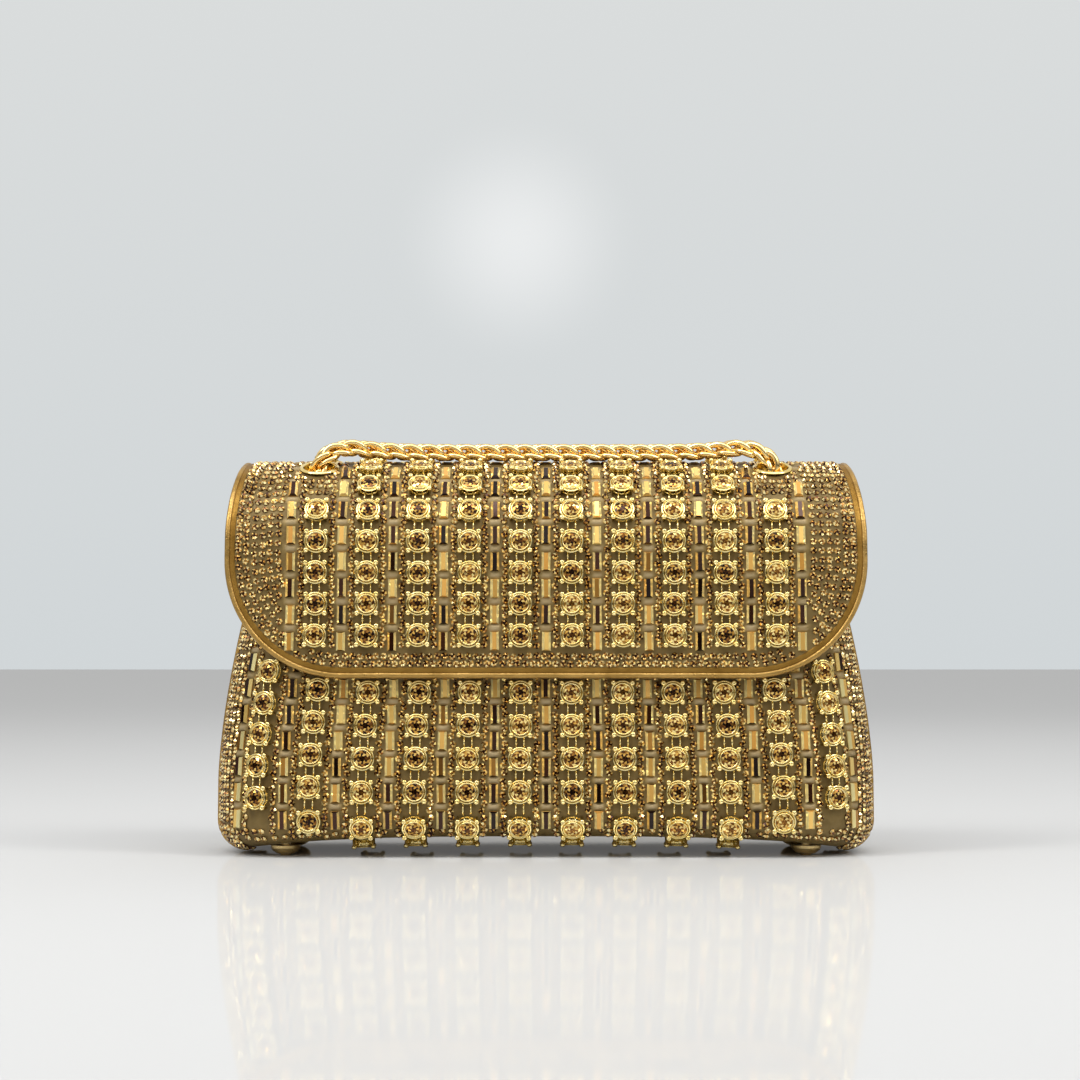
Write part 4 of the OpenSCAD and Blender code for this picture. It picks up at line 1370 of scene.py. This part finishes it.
def dress_flap():
    settings, gaps = [], []
    for k in range(5):
        for m in (-1, 1):
            x = m * (k + 0.5) * FLAP_PITCH
            for i in range(12):
                if flap_has(k, i):
                    settings.append((x, -FLAP_ROWS[i]))
                if i < 11 and flap_has(k, i) and flap_has(k, i + 1):
                    gaps.append((x, -(FLAP_ROWS[i] + FLAP_ROWS[i + 1]) / 2))
    bars = [(k * FLAP_PITCH, -s) for k in range(-5, 6) for s in FLAP_BARS if bar_fits(k, s)]
    zone = Zone(flap_surface, settings, bars)
    build_columns(zone, "flap", "flap", gaps, 3.0)
    zone.holes = [(m * EYELET_X, -EYELET_A * ARCH_R, 7.7) for m in (-1, 1)]
    back_end = 43.5
    for margin in (4.75, 7.15):
        outline(zone, margin, lambda x, s: s > -back_end, 2.45)
    for k in range(-5, 6):
        for m in (-1, 1):
            if abs(k * FLAP_PITCH + m * GAP_AT) < 85:
                zone.gap_column(k * FLAP_PITCH + m * GAP_AT, -83.0, back_end)
    for k in range(-4, 5):
        for x in (-1.25, 1.25):
            for s in (-3.6, -1.1):
                zone.add(k * FLAP_PITCH + x, -s)
    for step in range(2, 14):
        outline(zone, 4.75 + FLAP_FIELD * step,
                lambda x, s: s > -back_end and (abs(x) > 86.6 or s > 79), FLAP_FIELD)
    for s in np.arange(-1, 28, FLAP_FIELD):
        for m in (-1, 1):
            for x in np.arange(63.0, 90, FLAP_FIELD):
                zone.add_near(m * x, -s, dv=0.2)
    front = [p for p in zone.stones if p[1] < 0]
    back = [p for p in zone.stones if p[1] >= 0]
    for name, part in (("flap_front_small_stones", front), ("flap_back_small_stones", back)):
        zone.stones = part
        zone.build(name, "flap")


def outline(zone, margin, wanted, pitch):
    """Small stones in a row that follows the flap's outline, a margin in from its edge."""
    line = [station(margin) for station in hem_stations(3)]
    last = None
    for x, s in line:
        p = flap(x, s)
        if last is not None and np.linalg.norm(p - last) < pitch:
            continue
        last = p
        if wanted(x, s):
            zone.add_near(x, -s, 0.12, 0.12)


dress_wall("front", front_surface, -1, FRONT_COUNT, FRONT_BARS, 66.5)
dress_wall("back", back_surface, 1, BACK_COUNT, BACK_BARS, 91.0)
dress_sides()
dress_flap()


# ---- Pocket, tabs and what stays from the CAD --------------------------------

def slip_pocket():
    """A lined patch pocket on the back lining, whose mouth stands a little open."""
    half, low, high = 60.0, 30.0, 88.0
    wall_y, gap, thick = BACK_DEPTH - INNER_T - 0.1, 4.6, 0.8
    xs = np.linspace(half, -half, 49)
    zs = np.linspace(low, high, 33)

    def front_y(x, z, depth):
        u = x / half
        open_mouth = (1 - u * u) ** 0.6 if abs(u) < 1 else 0.0
        rise = min(1.0, (z - low) / 9.0)
        return wall_y - (0.4 + gap * open_mouth * math.sin(rise * math.pi / 2)) - depth

    face = [[(x, front_y(x, z, thick), z) for x in xs[::-1]] for z in zs]
    under = [[(x, front_y(x, z, 0), z) for x in xs[::-1]] for z in zs]
    hem = tube([(x, front_y(x, high, thick / 2), high - 0.2) for x in xs], 0.62, 8)
    shape = joined([grid_shell(face, under), hem])
    place(mesh_piece("slip_pocket_satin", shape, LINING), "bag_body", "slip_pocket")


RING_X = 94.1            # middle of the right D-ring's bar
RING_Y = 3.8
RING_Z = 86.4
TAB_LEAN = math.radians(13.6)


def ring_tabs():
    """Leather tabs folded round the D-rings' bars, with a stitched border."""
    c, s = math.cos(TAB_LEAN), math.sin(TAB_LEAN)
    lean = np.array([[c, 0, -s], [0, 1, 0], [s, 0, c]])
    profile = arc(2.4, -270, 0, 22) + [(2.4, z) for z in np.linspace(1, 12.6, 14)]
    profile += [(2.3, 13.2), (2.0, 13.5), (1.5, 13.5), (1.2, 13.2)]
    profile += [(1.2, z) for z in np.linspace(12.6, 2.6, 12)] + arc(1.08, 60, -270, 24)
    loops = []
    for y, shrink in ((-5.5, 0.18), (-5.3, 0.05), (-5, 0), (0, 0), (5, 0), (5.3, 0.05), (5.5, 0.18)):
        loops.append([np.array((x * (1 - shrink * 0.1), y, z * (1 - shrink * 0.06))) for x, z in profile])
    heights = np.arange(3.6, 12.8, 1.5)
    stitches = [box_part((0.3, 0.32, 1.0), (1.12, y, z)) for y in (-4.5, 4.5) for z in heights]
    for name, m in SIDES:
        leather = leaned(swept(loops), lean, m)
        place(mesh_piece(f"{name}_tab_leather", leather, GOLD_LEATHER), "bag_body", f"{name}_ring_tab")
        seam = leaned(joined(stitches), lean, m)
        place(mesh_piece(f"{name}_tab_stitches", seam, THREAD), "bag_body")


def leaned(shape, lean, m):
    """A part of the right tab turned to lean with the wall, and put in its place on side m."""
    verts, faces = shape
    return (verts @ lean.T + (RING_X, RING_Y, RING_Z)) * (m, 1, 1), faces


def finish_cad_nodes():
    """The CAD nodes that keep their shape get their finishes."""
    finishes = {
        SATIN_GOLD: ["feet", "left_tab_rivet", "right_tab_rivet"],
        BRIGHT_GOLD: ["left_d_ring", "right_d_ring", "left_chain_link", "right_chain_link", "magnet_socket",
                      "magnet_plate"],
        STEEL: ["foot_washers", "magnet_socket_washer", "eyelet_washers"],
        CARD: ["front_board", "back_board", "bottom_board", "flap_board"],
    }
    for material, names in finishes.items():
        for name in names:
            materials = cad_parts[name].data.materials
            materials.clear()
            materials.append(material)


slip_pocket()
ring_tabs()
finish_cad_nodes()
table()
lamps()
surroundings()
